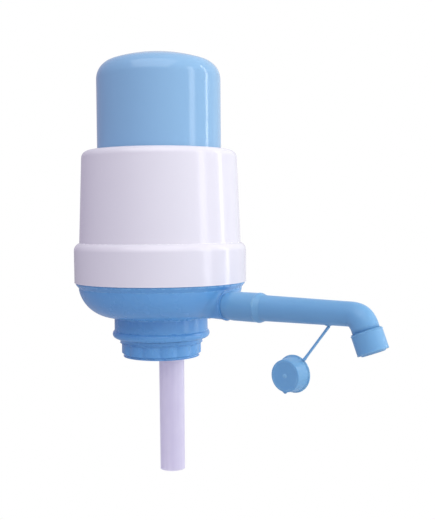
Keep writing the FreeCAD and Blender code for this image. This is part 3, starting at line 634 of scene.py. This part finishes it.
def bowl_curve(inset, start, end, count=24):
    """Points on the bowl's arc, outside or set in by the wall, between two shares of its turn."""
    low = (COLLAR_RADIUS, FLOOR_BOTTOM + inset)
    high = (BOWL_RADIUS - inset, FLOOR_BOTTOM + BOWL_RISE)
    return bend(low, high, BOWL_TURN, start, end, count)


def bowl_shell(shell):
    bead = []
    meet = math.degrees(math.acos((COLLAR_RADIUS - BEAD_CENTRE) / BEAD_RADIUS))
    for step in range(15):
        angle = math.radians(-90 + (90 + meet) * step / 14)
        bead.append((BEAD_CENTRE + BEAD_RADIUS * math.cos(angle),
                     BEAD_HEIGHT + BEAD_RADIUS * math.sin(angle)))
    ring_outer = SHELL_FOOT_RADIUS - WALL - SEAT_GAP
    ring_inner = DECK_RADIUS + 0.3
    corners = [(COLLAR_BORE, FLOOR_BOTTOM, 0.5), (COLLAR_BORE, COLLAR_BOTTOM, 0.3)]
    corners += bead[:-1] + [bead[-1] + (0.25,)]
    corners += [(COLLAR_RADIUS, FLOOR_BOTTOM, 0.9)]
    corners += bowl_curve(0, 0.08, 1.0)
    corners += [(BOWL_RADIUS, LIP_BOTTOM, 0.5), (LIP_RADIUS, RIM_HEIGHT - 1.2, 0.8),
                (LIP_RADIUS, RIM_HEIGHT, 0.08), (ring_outer, RIM_HEIGHT, 0.2),
                (ring_outer, RIM_HEIGHT + 4, 0.4), (ring_inner, RIM_HEIGHT + 4, 0.4),
                (ring_inner, LIP_BOTTOM, 0.2), (LEDGE_RADIUS, LIP_BOTTOM, 0.3),
                (LEDGE_RADIUS, LIP_BOTTOM - 1.2, 0.2)]
    corners += bowl_curve(WALL, 0.92, 0.06)
    hole = TUBE_OFFSET + TUBE_RADIUS + 2.2
    corners += [(hole, FLOOR_TOP, 0.4), (hole, FLOOR_BOTTOM, 0.4)]
    shell.lathe(corners, segments=224)


# %% Socket, web and screw bosses
SPOUT_HEIGHT = 36.8
SOCKET_RADIUS = 9.2
SOCKET_BORE = 6.8
SOCKET_START = 34.2
SOCKET_FLOOR = 36.0
SOCKET_MOUTH = 57.0
CHANNEL_RADIUS = 4.2
SNAP_GROOVE_LOW = 44.0
SNAP_GROOVE_HIGH = 46.0
SNAP_GROOVE_DEPTH = 0.7
WEB_REACH = 4.6
SCREW_COUNT = 4
SCREW_CIRCLE = 47.15
SCREW_BORE = 1.65
SCREW_BORE_BOTTOM = 37.4
SCREW_BOSS_RADIUS = 3.2
SCREW_BOSS_BOTTOM = 36.2
SCREW_BOSS_TOP = 46.55


def bowl_radius_at(height):
    """The bowl's outer radius at a height, where its wall is."""
    curve = bowl_curve(0, 0.0, 1.0, 200)
    return float(np.interp(height, [z for radius, z in curve], [radius for radius, z in curve]))


def on_bowl(y, z):
    """The point of the bowl's wall straight out along X at this y and z."""
    radius = bowl_radius_at(z)
    return Vector((math.sqrt(max(radius * radius - y * y, 0)), y, z))


def socket_web(shell, segments=120, steps=7):
    """A curved web that rounds off the line where the socket leaves the bowl."""
    rings = [[] for step in range(steps + 1)]
    for angle in round_steps(segments):
        out = Vector((0, math.cos(angle), math.sin(angle)))
        corner = on_bowl(SOCKET_RADIUS * out.y, SPOUT_HEIGHT + SOCKET_RADIUS * out.z)
        wide = SOCKET_RADIUS + WEB_REACH
        on_wall = on_bowl(wide * out.y, max(SPOUT_HEIGHT + wide * out.z, FLOOR_BOTTOM + 0.05))
        on_socket = corner.copy()
        on_socket.x = max(corner.x + 0.3, min(corner.x + WEB_REACH, SOCKET_MOUTH - 1.7))
        corner = corner + Vector((0.25, 0, 0)) + out * 0.02
        for step in range(steps + 1):
            share = step / steps
            place = (on_wall * (1 - share) ** 2 + corner * 2 * share * (1 - share)
                     + on_socket * share ** 2)
            rings[step].append(place)
    made = [shell.ring(ring, 0.0) for ring in rings]
    for low, high in zip(made, made[1:]):
        shell.bridge(low, high)


def floor_disc(shell, bore, reach, segments=96):
    """The flat floor round the tube: a disc about the pump's axis with a hole about the tube's."""
    hole = []
    rim = []
    for angle in round_steps(segments):
        rim.append((reach * math.cos(angle), reach * math.sin(angle)))
        hole.append((TUBE_OFFSET + bore * math.cos(angle), bore * math.sin(angle)))
    rings = []
    for ring, height in ((hole, FLOOR_BOTTOM), (rim, FLOOR_BOTTOM), (rim, FLOOR_TOP), (hole, FLOOR_TOP)):
        rings.append(shell.ring([(x, y, height) for x, y in ring], 0.0))
    for low, high in zip(rings, rings[1:]):
        shell.bridge(low, high)
    shell.bridge(rings[-1], rings[0])


def make_bowl():
    shell = Shell()
    bowl_shell(shell)
    socket_place = shift(0, 0, SPOUT_HEIGHT) @ ALONG_X
    rim = SOCKET_RADIUS + 0.5
    groove = SOCKET_BORE + SNAP_GROOVE_DEPTH
    shell.lathe([
        (CHANNEL_RADIUS, SOCKET_START, 0.2), (SOCKET_RADIUS, SOCKET_START, 0.3),
        (SOCKET_RADIUS, SOCKET_MOUTH - 1.6, 0.2), (rim, SOCKET_MOUTH - 1.6, 0.3),
        (rim, SOCKET_MOUTH, 0.4), (SOCKET_BORE, SOCKET_MOUTH, 0.3), (SOCKET_BORE, SNAP_GROOVE_HIGH, 0.1),
        (groove, SNAP_GROOVE_HIGH, 0.1), (groove, SNAP_GROOVE_LOW, 0.1), (SOCKET_BORE, SNAP_GROOVE_LOW, 0.1),
        (SOCKET_BORE, SOCKET_FLOOR, 0.3), (CHANNEL_RADIUS, SOCKET_FLOOR, 0.2)], socket_place, 112)
    socket_web(shell)
    floor_disc(shell, bore=TUBE_RADIUS + 0.3, reach=TUBE_OFFSET + TUBE_RADIUS + 3.0)
    for index in range(SCREW_COUNT):
        angle = math.radians(45 + 360 / SCREW_COUNT * index)
        boss = shift(SCREW_CIRCLE * math.cos(angle), SCREW_CIRCLE * math.sin(angle))
        shell.lathe([(SCREW_BORE, SCREW_BORE_BOTTOM, 0.1), (SCREW_BORE, SCREW_BOSS_TOP, 0.2),
                     (SCREW_BOSS_RADIUS, SCREW_BOSS_TOP, 0.3), (SCREW_BOSS_RADIUS, SCREW_BOSS_BOTTOM, 0.3),
                     (0.0, SCREW_BOSS_BOTTOM), (0.0, SCREW_BORE_BOTTOM)], boss, 40)
    return shell.make("bowl", "pump_body", ["base_bowl"], finish["base_blue"])


bowl = make_bowl()

# %% [markdown]
# ## The neck adaptor
# The jug's neck goes into this ring. Its skirt has fourteen convex flutes for the fingers, which fade
# into a plain band under the step ring. The flutes are worked out as arcs: each is part of a circle
# that passes through its two grooves, and the groove's foot is eased so that it isn't a knife cut.

# %% Flutes and adaptor outline
ADAPTOR_RADIUS = 26.8
FLUTE_ROOT = 25.7
FLUTE_COUNT = 14
NECK_BORE = 24.2
SKIRT_TOP = 9.4
STEP_RADIUS = 28.35
STEP_TOP = 12.36
SLEEVE_RADIUS = 27.3
ADAPTOR_TOP = 24.3
THREAD_PITCH = 4.0
THREAD_DEPTH = 1.0
THREAD_SINK = 0.1
THREAD_START = 14.5
THREAD_TURNS = 1.5


def flute_depth(angle):
    """How far the skirt lies inside its full radius at this angle."""
    half = math.pi / FLUTE_COUNT
    lobe = ((FLUTE_ROOT ** 2 + ADAPTOR_RADIUS ** 2 - 2 * FLUTE_ROOT * ADAPTOR_RADIUS * math.cos(half))
            / (2 * (ADAPTOR_RADIUS - FLUTE_ROOT * math.cos(half))))
    centre = ADAPTOR_RADIUS - lobe
    off = (angle % (2 * half)) - half
    off = math.copysign(min(abs(off), half * 0.965), off)
    reach = centre * math.cos(off) + math.sqrt(lobe ** 2 - (centre * math.sin(off)) ** 2)
    return ADAPTOR_RADIUS - reach


def fluted(radius, height, angle):
    """The skirt's radius with its flutes. The bore and what is above the skirt stay round."""
    if radius < NECK_BORE + 0.8 or height > SKIRT_TOP - 0.1:
        return radius
    fade = max(0.0, min(1.0, (SKIRT_TOP - 0.5 - height) / 0.7))
    fade = fade * fade * (3 - 2 * fade)
    return min(radius, ADAPTOR_RADIUS - flute_depth(angle) * fade)


def thread(shell, segments=96):
    """A trapezoid thread ridge that climbs the sleeve and sinks into it at both ends."""
    rows = []
    count = int(THREAD_TURNS * segments)
    for index in range(count + 1):
        angle = 2 * math.pi * index / segments
        middle = THREAD_START + THREAD_PITCH * index / segments
        ease = min(1.0, index / 10, (count - index) / 10)
        crest = SLEEVE_RADIUS + (THREAD_DEPTH + THREAD_SINK) * ease - THREAD_SINK
        foot = SLEEVE_RADIUS - 3 * THREAD_SINK
        for reach, rise in ((foot, -0.8), (crest, -0.4), (crest, 0.4), (foot, 0.8)):
            rows.append((reach * math.cos(angle), reach * math.sin(angle), middle + rise))
    first = len(shell.points)
    shell.points += rows
    shell.rims += [0.0] * len(rows)
    for index in range(count):
        low = first + 4 * index
        for side in range(4):
            after = (side + 1) % 4
            shell.faces.append((low + side, low + after, low + 4 + after, low + 4 + side))
    shell.faces.append((first, first + 1, first + 2, first + 3))
    last = first + 4 * count
    shell.faces.append((last + 3, last + 2, last + 1, last))


def make_adaptor():
    shell = Shell()
    corners = [(NECK_BORE, 0.0, 0.3), (ADAPTOR_RADIUS, 0.0, 1.3)]
    corners += [(ADAPTOR_RADIUS, height) for height in (2.2, 4.0, 6.0, 7.8, 8.1, 8.3, 8.5, 8.7, 8.9)]
    corners += [(ADAPTOR_RADIUS, SKIRT_TOP, 0.25), (STEP_RADIUS, SKIRT_TOP, 0.4),
                (STEP_RADIUS, STEP_TOP, 0.35), (SLEEVE_RADIUS, STEP_TOP, 0.1),
                (SLEEVE_RADIUS, ADAPTOR_TOP, 0.3), (NECK_BORE, ADAPTOR_TOP, 0.3)]
    shell.lathe(corners, segments=FLUTE_COUNT * 24, shape=fluted)
    thread(shell)
    return shell.make("fluted_adaptor", "adaptor", ["neck_adaptor"], finish["base_blue"])


adaptor = make_adaptor()

# %% [markdown]
# ## The dip tube
# A plain extruded tube, cut square. Its cut end shows the wall from below, so it is a real hollow tube.

# %% Dip tube
TUBE_WALL = 1.65
TUBE_BOTTOM = -76.1
TUBE_TOP = 40.9


def make_tube():
    shell = Shell()
    bore = TUBE_RADIUS - TUBE_WALL
    shell.lathe([(bore, TUBE_BOTTOM, 0.12), (TUBE_RADIUS, TUBE_BOTTOM, 0.15),
                 (TUBE_RADIUS, TUBE_TOP, 0.15), (bore, TUBE_TOP, 0.12)], shift(TUBE_OFFSET), 112)
    return shell.make("milky_tube", "pump_body", ["dip_tube"], finish["tube_clear"])


tube = make_tube()

# %% [markdown]
# ## The spout
# The spout is three mouldings on one axis: a hub that turns in the socket, a tube that tapers to the
# elbow, and a wider sleeve at the outlet. The hub and sleeve are turned outlines. The tube is a skin
# over rings that follow its centre line, outside and then back inside, so it is open where water runs.

# %% Hub
HUB_RADIUS = 9.2
HUB_END = 82.1
HUB_CHAMFER = 3.4
HUB_BORE = 3.8
HUB_START = 38.0
SNAP_LOW = 44.4
SNAP_HIGH = 45.6
SNAP_RISE = 0.48
RING_MIDDLES = (48.5, 53.0)
RING_HALF = 0.85
RING_DEPTH = 1.5
LEAD_START = 57.02
LEAD_END = 62.3
SPOUT_START = 64.0
SPOUT_RADIUS = 8.05
spout_place = shift(0, 0, SPOUT_HEIGHT) @ ALONG_X


def make_hub():
    shell = Shell()
    spigot = SOCKET_BORE - 0.08
    groove = SOCKET_BORE - RING_DEPTH
    snap = spigot + SNAP_RISE
    corners = [(HUB_BORE, HUB_START, 0.2), (spigot, HUB_START, 0.5), (spigot, SNAP_LOW, 0.1),
               (snap, SNAP_LOW, 0.2), (snap, SNAP_HIGH, 0.2), (spigot, SNAP_HIGH, 0.1)]
    for middle in RING_MIDDLES:
        corners += [(spigot, middle - RING_HALF, 0.1), (groove, middle - RING_HALF, 0.1),
                    (groove, middle + RING_HALF, 0.1), (spigot, middle + RING_HALF, 0.1)]
    lip = HUB_RADIUS + 0.2
    corners += [(spigot, LEAD_START, 0.1), (HUB_RADIUS - 0.6, LEAD_START, 0.2), (HUB_RADIUS, LEAD_END, 6.0),
                (HUB_RADIUS, HUB_END - 1.5, 0.5), (lip, HUB_END - 0.9, 0.35), (lip, HUB_END, 0.9),
                (SPOUT_RADIUS + 0.06, HUB_END + HUB_CHAMFER, 3.0),
                (SPOUT_RADIUS, HUB_END + HUB_CHAMFER, 0.05), (SPOUT_RADIUS, SPOUT_START, 0.2),
                (HUB_BORE, SPOUT_START, 0.2)]
    shell.lathe(corners, spout_place, 128)
    return shell.make("hub", "spout", ["spout_hub"], finish["spout_blue"])


hub = make_hub()

# %% Tube with its elbow
TAPER_END = 142.0
TUBE_END_RADIUS = 7.3
SPOUT_WALL = 1.8
ELBOW_START = 144.9
ELBOW_RADIUS = 9.8
ELBOW_SWELL = 0.8
ELBOW_TURN = 69.0
NOZZLE_REACH = 16.5
NOZZLE_MOUTH = 4.0


def taper(x):
    """The tube's outer radius at a distance from the pump's axis."""
    share = (x - HUB_END - HUB_CHAMFER) / (TAPER_END - HUB_END - HUB_CHAMFER)
    return SPOUT_RADIUS + (TUBE_END_RADIUS - SPOUT_RADIUS) * max(0.0, min(1.0, share))


def in_elbow(turn):
    """The centre line's point where it has turned down by this angle."""
    return Vector((ELBOW_START + ELBOW_RADIUS * math.sin(turn), 0,
                   SPOUT_HEIGHT - ELBOW_RADIUS * (1 - math.cos(turn))))


def heading(turn):
    """The centre line's direction at this turn."""
    return Vector((math.cos(turn), 0, -math.sin(turn)))


def centre_line():
    """Points, directions and outer radii along the spout, from inside the hub to the nozzle."""
    rows = []
    for x in (SPOUT_START, SPOUT_START + 0.4, 70.0, 78.0, HUB_END + HUB_CHAMFER, 96.0, 108.0, 120.0,
              131.0, TAPER_END, ELBOW_START):
        rows.append((Vector((x, 0, SPOUT_HEIGHT)), 0.0, taper(x)))
    for step in range(1, 15):
        turn = math.radians(ELBOW_TURN) * step / 14
        swell = ELBOW_SWELL * math.sin(min(1.0, step / 9) * math.pi / 2) ** 2
        rows.append((in_elbow(turn), turn, TUBE_END_RADIUS + swell))
    last, turn, radius = rows[-1]
    ahead = heading(turn)
    rows.append((last + ahead * 3.1, turn, radius))
    for distance in (3.4, 6.0, NOZZLE_REACH - NOZZLE_MOUTH):
        rows.append((last + ahead * distance, turn, TUBE_END_RADIUS))
    return rows


def tube_ring(place, turn, radius, segments=96):
    """A ring square to the centre line."""
    up = Vector((math.sin(turn), 0, math.cos(turn)))
    side = Vector((0, 1, 0))
    points = []
    for angle in round_steps(segments):
        points.append(place + (up * math.cos(angle) + side * math.sin(angle)) * radius)
    return points


STRAP_X = 130.6
STRAP_ANGLE = 38.9
STRAP_LENGTH = 27.0
STRAP_THICK = 1.4
STRAP_WIDTH = 2.4
HINGE = Vector((STRAP_X, 0, SPOUT_HEIGHT - taper(STRAP_X) - 0.25 - STRAP_THICK / 2))
print("strap hinge at", [round(value, 2) for value in HINGE])


def lug(shell):
    """The little pad on the spout's underside that the strap grows from."""
    pad = shift(HINGE.x, 0, HINGE.z + 0.55)
    shell.lathe([(0.0, 1.2), (3.1, 1.0, 0.5), (2.2, 0.35, 0.4), (1.1, -0.05, 0.3), (0.0, -0.1)], pad, 40,
                closed=False)


def make_spout_tube():
    shell = Shell()
    rows = centre_line()
    rings = [shell.ring(tube_ring(*row), 0.0) for row in rows]
    for place, turn, radius in reversed(rows):
        rings.append(shell.ring(tube_ring(place, turn, radius - SPOUT_WALL), 0.0))
    for low, high in zip(rings, rings[1:] + rings[:1]):
        shell.bridge(low, high)
    lug(shell)
    return shell.make("tapered_spout", "spout", ["spout_tube"], finish["spout_blue"])


spout_tube = make_spout_tube()

# %% Nozzle sleeve
NOZZLE_LENGTH = 13.5
NOZZLE_RADIUS = 9.3
NOZZLE_BORE = 6.2
NOZZLE_LIP = 0.3


def make_nozzle():
    shell = Shell()
    turn = math.radians(ELBOW_TURN)
    end = in_elbow(turn) + heading(turn) * NOZZLE_REACH
    place = Matrix.Translation(end) @ Matrix.Rotation(math.radians(90 + ELBOW_TURN), 4, "Y")
    lip = NOZZLE_RADIUS + NOZZLE_LIP
    shell.lathe([
        (TUBE_END_RADIUS, -NOZZLE_LENGTH, 0.2), (lip, -NOZZLE_LENGTH, 0.35),
        (lip, -NOZZLE_LENGTH + 0.9, 0.25), (NOZZLE_RADIUS, -NOZZLE_LENGTH + 1.1, 0.2),
        (NOZZLE_RADIUS, 0.0, 0.8), (NOZZLE_BORE, 0.0, 0.5), (NOZZLE_BORE, -NOZZLE_MOUTH, 0.1),
        (TUBE_END_RADIUS, -NOZZLE_MOUTH, 0.1)], place, 112)
    return shell.make("nozzle", "spout", ["nozzle_sleeve"], finish["spout_blue"])


nozzle = make_nozzle()

# %% [markdown]
# ## The strap and the dust cap
# One thin strap holds the dust cap, so that it isn't lost. The strap is a flat moulded bar with soft
# edges. The cap is a shallow cup with a flange round its mouth, a pull tab opposite the strap, and
# the small nib in the middle of its face where the plastic went into the mould.

# %% Strap
strap_turn = math.radians(STRAP_ANGLE)
STRAP_AHEAD = Vector((-math.sin(strap_turn), 0, -math.cos(strap_turn)))


def make_strap():
    shell = Shell()
    across = Vector((0, 1, 0))
    thick = STRAP_AHEAD.cross(across)
    rows = ((-0.55, 0.6), (-0.3, 0.85), (0.0, 1.0), (1.2, 1.0), (5.0, 0.94), (14.0, 0.92),
            (22.0, 0.94), (25.6, 1.05), (26.6, 1.3), (STRAP_LENGTH, 1.55))
    rings = [shell.ring([HINGE + STRAP_AHEAD * rows[0][0]], 0.0)]
    for along, grow in rows:
        half_width = STRAP_WIDTH / 2 * grow
        half_thick = STRAP_THICK / 2 * min(grow, 1.15)
        places = []
        for angle in round_steps(24):
            flat_x = math.copysign(abs(math.cos(angle)) ** 0.5, math.cos(angle))
            flat_y = math.copysign(abs(math.sin(angle)) ** 0.5, math.sin(angle))
            places.append(HINGE + STRAP_AHEAD * along + across * flat_x * half_width
                          + thick * flat_y * half_thick)
        rings.append(shell.ring(places, 0.0))
    rings.append(shell.ring([HINGE + STRAP_AHEAD * STRAP_LENGTH], 0.0))
    for low, high in zip(rings, rings[1:]):
        shell.bridge(low, high)
    return shell.make("strap_bar", "strap", ["cap_strap"], finish["spout_blue"])


strap = make_strap()

# %% Dust cap
FLANGE_RADIUS = 11.6
FLANGE_THICK = 1.5
CUP_DEPTH = 10.6
CUP_INNER = NOZZLE_RADIUS + NOZZLE_LIP + 0.12
CUP_OUTER = CUP_INNER + 1.1
FACE_THICK = 1.3
TAB_REACH = 2.4
TAB_WIDTH = 7.6
TAB_ROUND = 1.4


def tab(shell, place):
    """The pull tab: a small rounded tongue on the flange, away from the strap."""
    turn = math.radians(STRAP_ANGLE)
    along = Vector((-math.sin(turn), math.cos(turn), 0))
    across = Vector((-math.cos(turn), -math.sin(turn), 0))
    start = FLANGE_RADIUS - 1.0
    end = FLANGE_RADIUS + TAB_REACH
    half = TAB_WIDTH / 2
    outline = [along * start + across * half]
    for step in range(13):
        angle = math.pi / 2 - math.pi * step / 12
        reach = math.copysign(abs(math.sin(angle)) ** 0.3, math.sin(angle))
        out = end - TAB_ROUND + TAB_ROUND * max(math.cos(angle), 0.0) ** 0.5
        outline.append(along * out + across * half * reach)
    outline.append(along * start - across * half)
    centre = sum(outline, Vector()) / len(outline)
    rings = []
    low = -FLANGE_THICK / 2
    for height, shrink in ((low, 0.35), (low, 0.12), (low + 0.12, 0.03), (low + 0.35, 0.0),
                           (-low - 0.35, 0.0), (-low - 0.12, 0.03), (-low, 0.12), (-low, 0.35)):
        ring = []
        for point in outline:
            inward = centre - point
            inward = inward / max(inward.length, 0.01) * shrink
            ring.append(place @ (point + inward + Vector((0, 0, height))))
        rings.append(shell.ring(ring, 0.5))
    for below, above in zip(rings, rings[1:]):
        shell.bridge(below, above)
    shell.faces.append(tuple(reversed(rings[0])))
    shell.faces.append(tuple(rings[-1]))


def make_dust_cap():
    shell = Shell()
    centre = HINGE + STRAP_AHEAD * (STRAP_LENGTH + 0.3 + FLANGE_RADIUS)
    place = Matrix.Translation(centre) @ Matrix.Rotation(math.radians(-90), 4, "X")
    mouth = FLANGE_THICK / 2
    face = mouth - CUP_DEPTH
    shell.lathe([
        (0.0, face - 0.1), (0.6, face - 0.08, 0.3), (1.3, face + 0.1, 0.5),
        (7.4, face + 0.1, 3.0), (8.4, face, 1.0),
        (CUP_OUTER - 1.1, face, 2.6), (CUP_OUTER - 0.1, -mouth, 0.7),
        (FLANGE_RADIUS, -mouth, 0.6), (FLANGE_RADIUS, mouth, 0.6),
        (CUP_INNER, mouth, 0.3), (CUP_INNER, face + FACE_THICK, 0.6), (0.0, face + FACE_THICK)],
        place, 112, closed=False)
    tab(shell, place)
    return shell.make("dust_cap_cup", "dust_cap_body", ["dust_cap"], finish["spout_blue"])


dust_cap = make_dust_cap()

# %% [markdown]
# ## Bellows
# Inside the cap stands a blow-moulded bellows of soft milky plastic, with a flange at its foot that the
# clamp ring holds down. It could stay the frame's solid, but it is made again from a turned outline with
# round folds, one wall thickness apart inside and outside.

# %% Bellows
DECK_TOP = 48.0
BELLOWS_TOP = 172.0
BELLOWS_WALL = 1.1
BELLOWS_FLANGE = 41.1
BELLOWS_CREST = 36.9
BELLOWS_ROOT = 32.2
BELLOWS_MOUTH = 12.0
BELLOWS_FOLDS = 14


def make_bellows():
    shell = Shell()
    foot = DECK_TOP + BELLOWS_WALL
    lid = BELLOWS_TOP - BELLOWS_WALL
    rise = (lid - foot) / BELLOWS_FOLDS
    inner_root = BELLOWS_ROOT - BELLOWS_WALL
    outside = [(BELLOWS_ROOT, foot, 0.6)]
    inside = []
    for fold in range(BELLOWS_FOLDS):
        crest = foot + rise * (fold + 0.5)
        outside.append((BELLOWS_CREST, crest, 1.6))
        inside.append((BELLOWS_CREST - BELLOWS_WALL, crest, 1.0))
        if fold < BELLOWS_FOLDS - 1:
            outside.append((BELLOWS_ROOT, crest + rise / 2, 1.0))
            inside.append((inner_root, crest + rise / 2, 1.6))
    corners = [(inner_root, DECK_TOP, 0.1), (BELLOWS_FLANGE, DECK_TOP, 0.2), (BELLOWS_FLANGE, foot, 0.3)]
    corners += outside
    corners += [(BELLOWS_ROOT, lid, 0.3), (BELLOWS_ROOT, BELLOWS_TOP, 0.4), (BELLOWS_MOUTH, BELLOWS_TOP, 0.1),
                (BELLOWS_MOUTH, lid, 0.1), (inner_root, lid, 0.3)]
    shell.lathe(corners + inside[::-1], segments=56)
    thing = shell.make("bellows_folds", "pump_body", ["bellows"], finish["bellows_pe"])
    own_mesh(thing)
    return thing


bellows = make_bellows()

# %% [markdown]
# ## The pieces inside
# The bellows' plug, the valve block, seals and screws keep the frame's own solids, whose shape is right,
# and only get their finish. They show through no gap, but they are there when the pump is taken apart.

# %% Finish the inner pieces
INNER = {
    "valve_white": ("bellows_plug", "clamp_ring", "valve_block", "intake_cage"),
    "seal_rubber": ("intake_flap", "outlet_valve", "tube_seal", "channel_gasket", "spout_o_rings",
                    "neck_seal"),
    "screw_steel": ("clamp_screws",)}
for slot_name, nodes in INNER.items():
    for node in nodes:
        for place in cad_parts[node].material_slots:
            place.material = finish[slot_name]
print("inner pieces finished:", sum(len(nodes) for nodes in INNER.values()))

# %% [markdown]
# ## Light and floor
# The photograph has a white studio with light from the right: the left side falls into a cool lilac
# shade, and the right side carries upright bands, the reflections of tall narrow lights. So the world
# is a soft gradient, brighter on the right, and tall strips stand at the angles that put their
# reflections where the bands are. The floor is far below the hanging tube. Its colour carries a painted
# shade, dull lilac on the left and bright on the right, which only reflections and bounced light see;
# to the camera it is plain white.

# %% Floor
FLOOR_HEIGHT = -150.0


def make_floor():
    paint = Paint("studio_floor")
    right = sideways(VIEW_TURN)
    start = paint.node("ShaderNodeTexCoord", output="Object")
    across = paint.node("ShaderNodeVectorMath", {"operation": "DOT_PRODUCT"},
                        {0: start, 1: (right.x, right.y, 0.0)}, output="Value")
    speck = paint.noise(3.0, 3.0, 0.5)
    # Painted shade: the floor's colour runs from dull lilac on the left to near white on the right, as if lit
    # from the right.
    share = (across + (speck - 0.5) * 0.1).between(-0.5, 0.7)
    shade = paint.blend(share, colour(176, 173, 182), colour(240, 244, 247))
    paint.set(Base_Color=shade, Roughness=0.8)
    bright = paint.node("ShaderNodeEmission", None, {"Color": (1.0, 1.0, 1.0, 1.0), "Strength": 1.0})
    seen = paint.node("ShaderNodeLightPath", output="Is Camera Ray")
    matte = Wire(paint, paint.shader.outputs[0])
    mixed = paint.node("ShaderNodeMixShader", None, {0: seen, 1: matte, 2: bright})
    paint.tree.links.new(mixed.socket, paint.output.inputs["Surface"])
    mesh = bpy.data.meshes.new("studio_floor")
    reach = 6.0
    mesh.from_pydata([(-reach, -reach, FLOOR_HEIGHT * MM), (reach, -reach, FLOOR_HEIGHT * MM),
                      (reach, reach, FLOOR_HEIGHT * MM), (-reach, reach, FLOOR_HEIGHT * MM)], [],
                     [(0, 1, 2, 3)])
    mesh.materials.append(paint.material)
    add("studio_floor", mesh)


make_floor()

# %% World and lamps


def make_world():
    world = bpy.data.worlds.new("studio")
    bpy.context.scene.world = world
    world.use_nodes = True
    tree = world.node_tree
    tree.nodes.clear()
    paint = Paint("studio", tree)
    start = paint.node("ShaderNodeTexCoord", output="Generated")
    right = sideways(VIEW_TURN)
    lean = paint.node("ShaderNodeVectorMath", {"operation": "DOT_PRODUCT"},
                      {0: start, 1: (right.x, right.y, 0.35)}, output="Value")
    side = lean.between(-0.9, 0.9)
    light = paint.blend(side, colour(160, 150, 176), colour(244, 247, 249))
    path = paint.node("ShaderNodeLightPath", output="Is Camera Ray")
    shown = paint.blend(path, light, (1.0, 1.0, 1.0, 1.0))
    back = paint.node("ShaderNodeBackground", None, {"Color": shown, "Strength": 1.0})
    output = tree.nodes.new("ShaderNodeOutputWorld")
    tree.links.new(back.socket, output.inputs["Surface"])


AIM_HEIGHT = 0.09


def strip(name, turn, height, distance, wide, tall, power):
    """A tall area light that faces the pump from that turn."""
    lamp = bpy.data.lights.new(name, "AREA")
    lamp.shape = "RECTANGLE"
    lamp.size = wide
    lamp.size_y = tall
    lamp.energy = power
    thing = add(name, lamp)
    place = backwards(VIEW_TURN + turn) * distance + Vector((0, 0, height))
    thing.location = place
    aim = Vector((0, 0, AIM_HEIGHT)) - place
    thing.rotation_mode = "QUATERNION"
    thing.rotation_quaternion = aim.to_track_quat("-Z", "Y")


make_world()
strip("strip_near", 66, 0.15, 1.4, 0.28, 1.8, 4.2)
strip("strip_side", 101, 0.12, 1.3, 0.11, 1.9, 3.6)
strip("strip_back", 127, 0.12, 1.3, 0.08, 1.9, 0.15)
strip("top_soft", -10, 1.5, 1.0, 2.0, 1.6, 14.0)
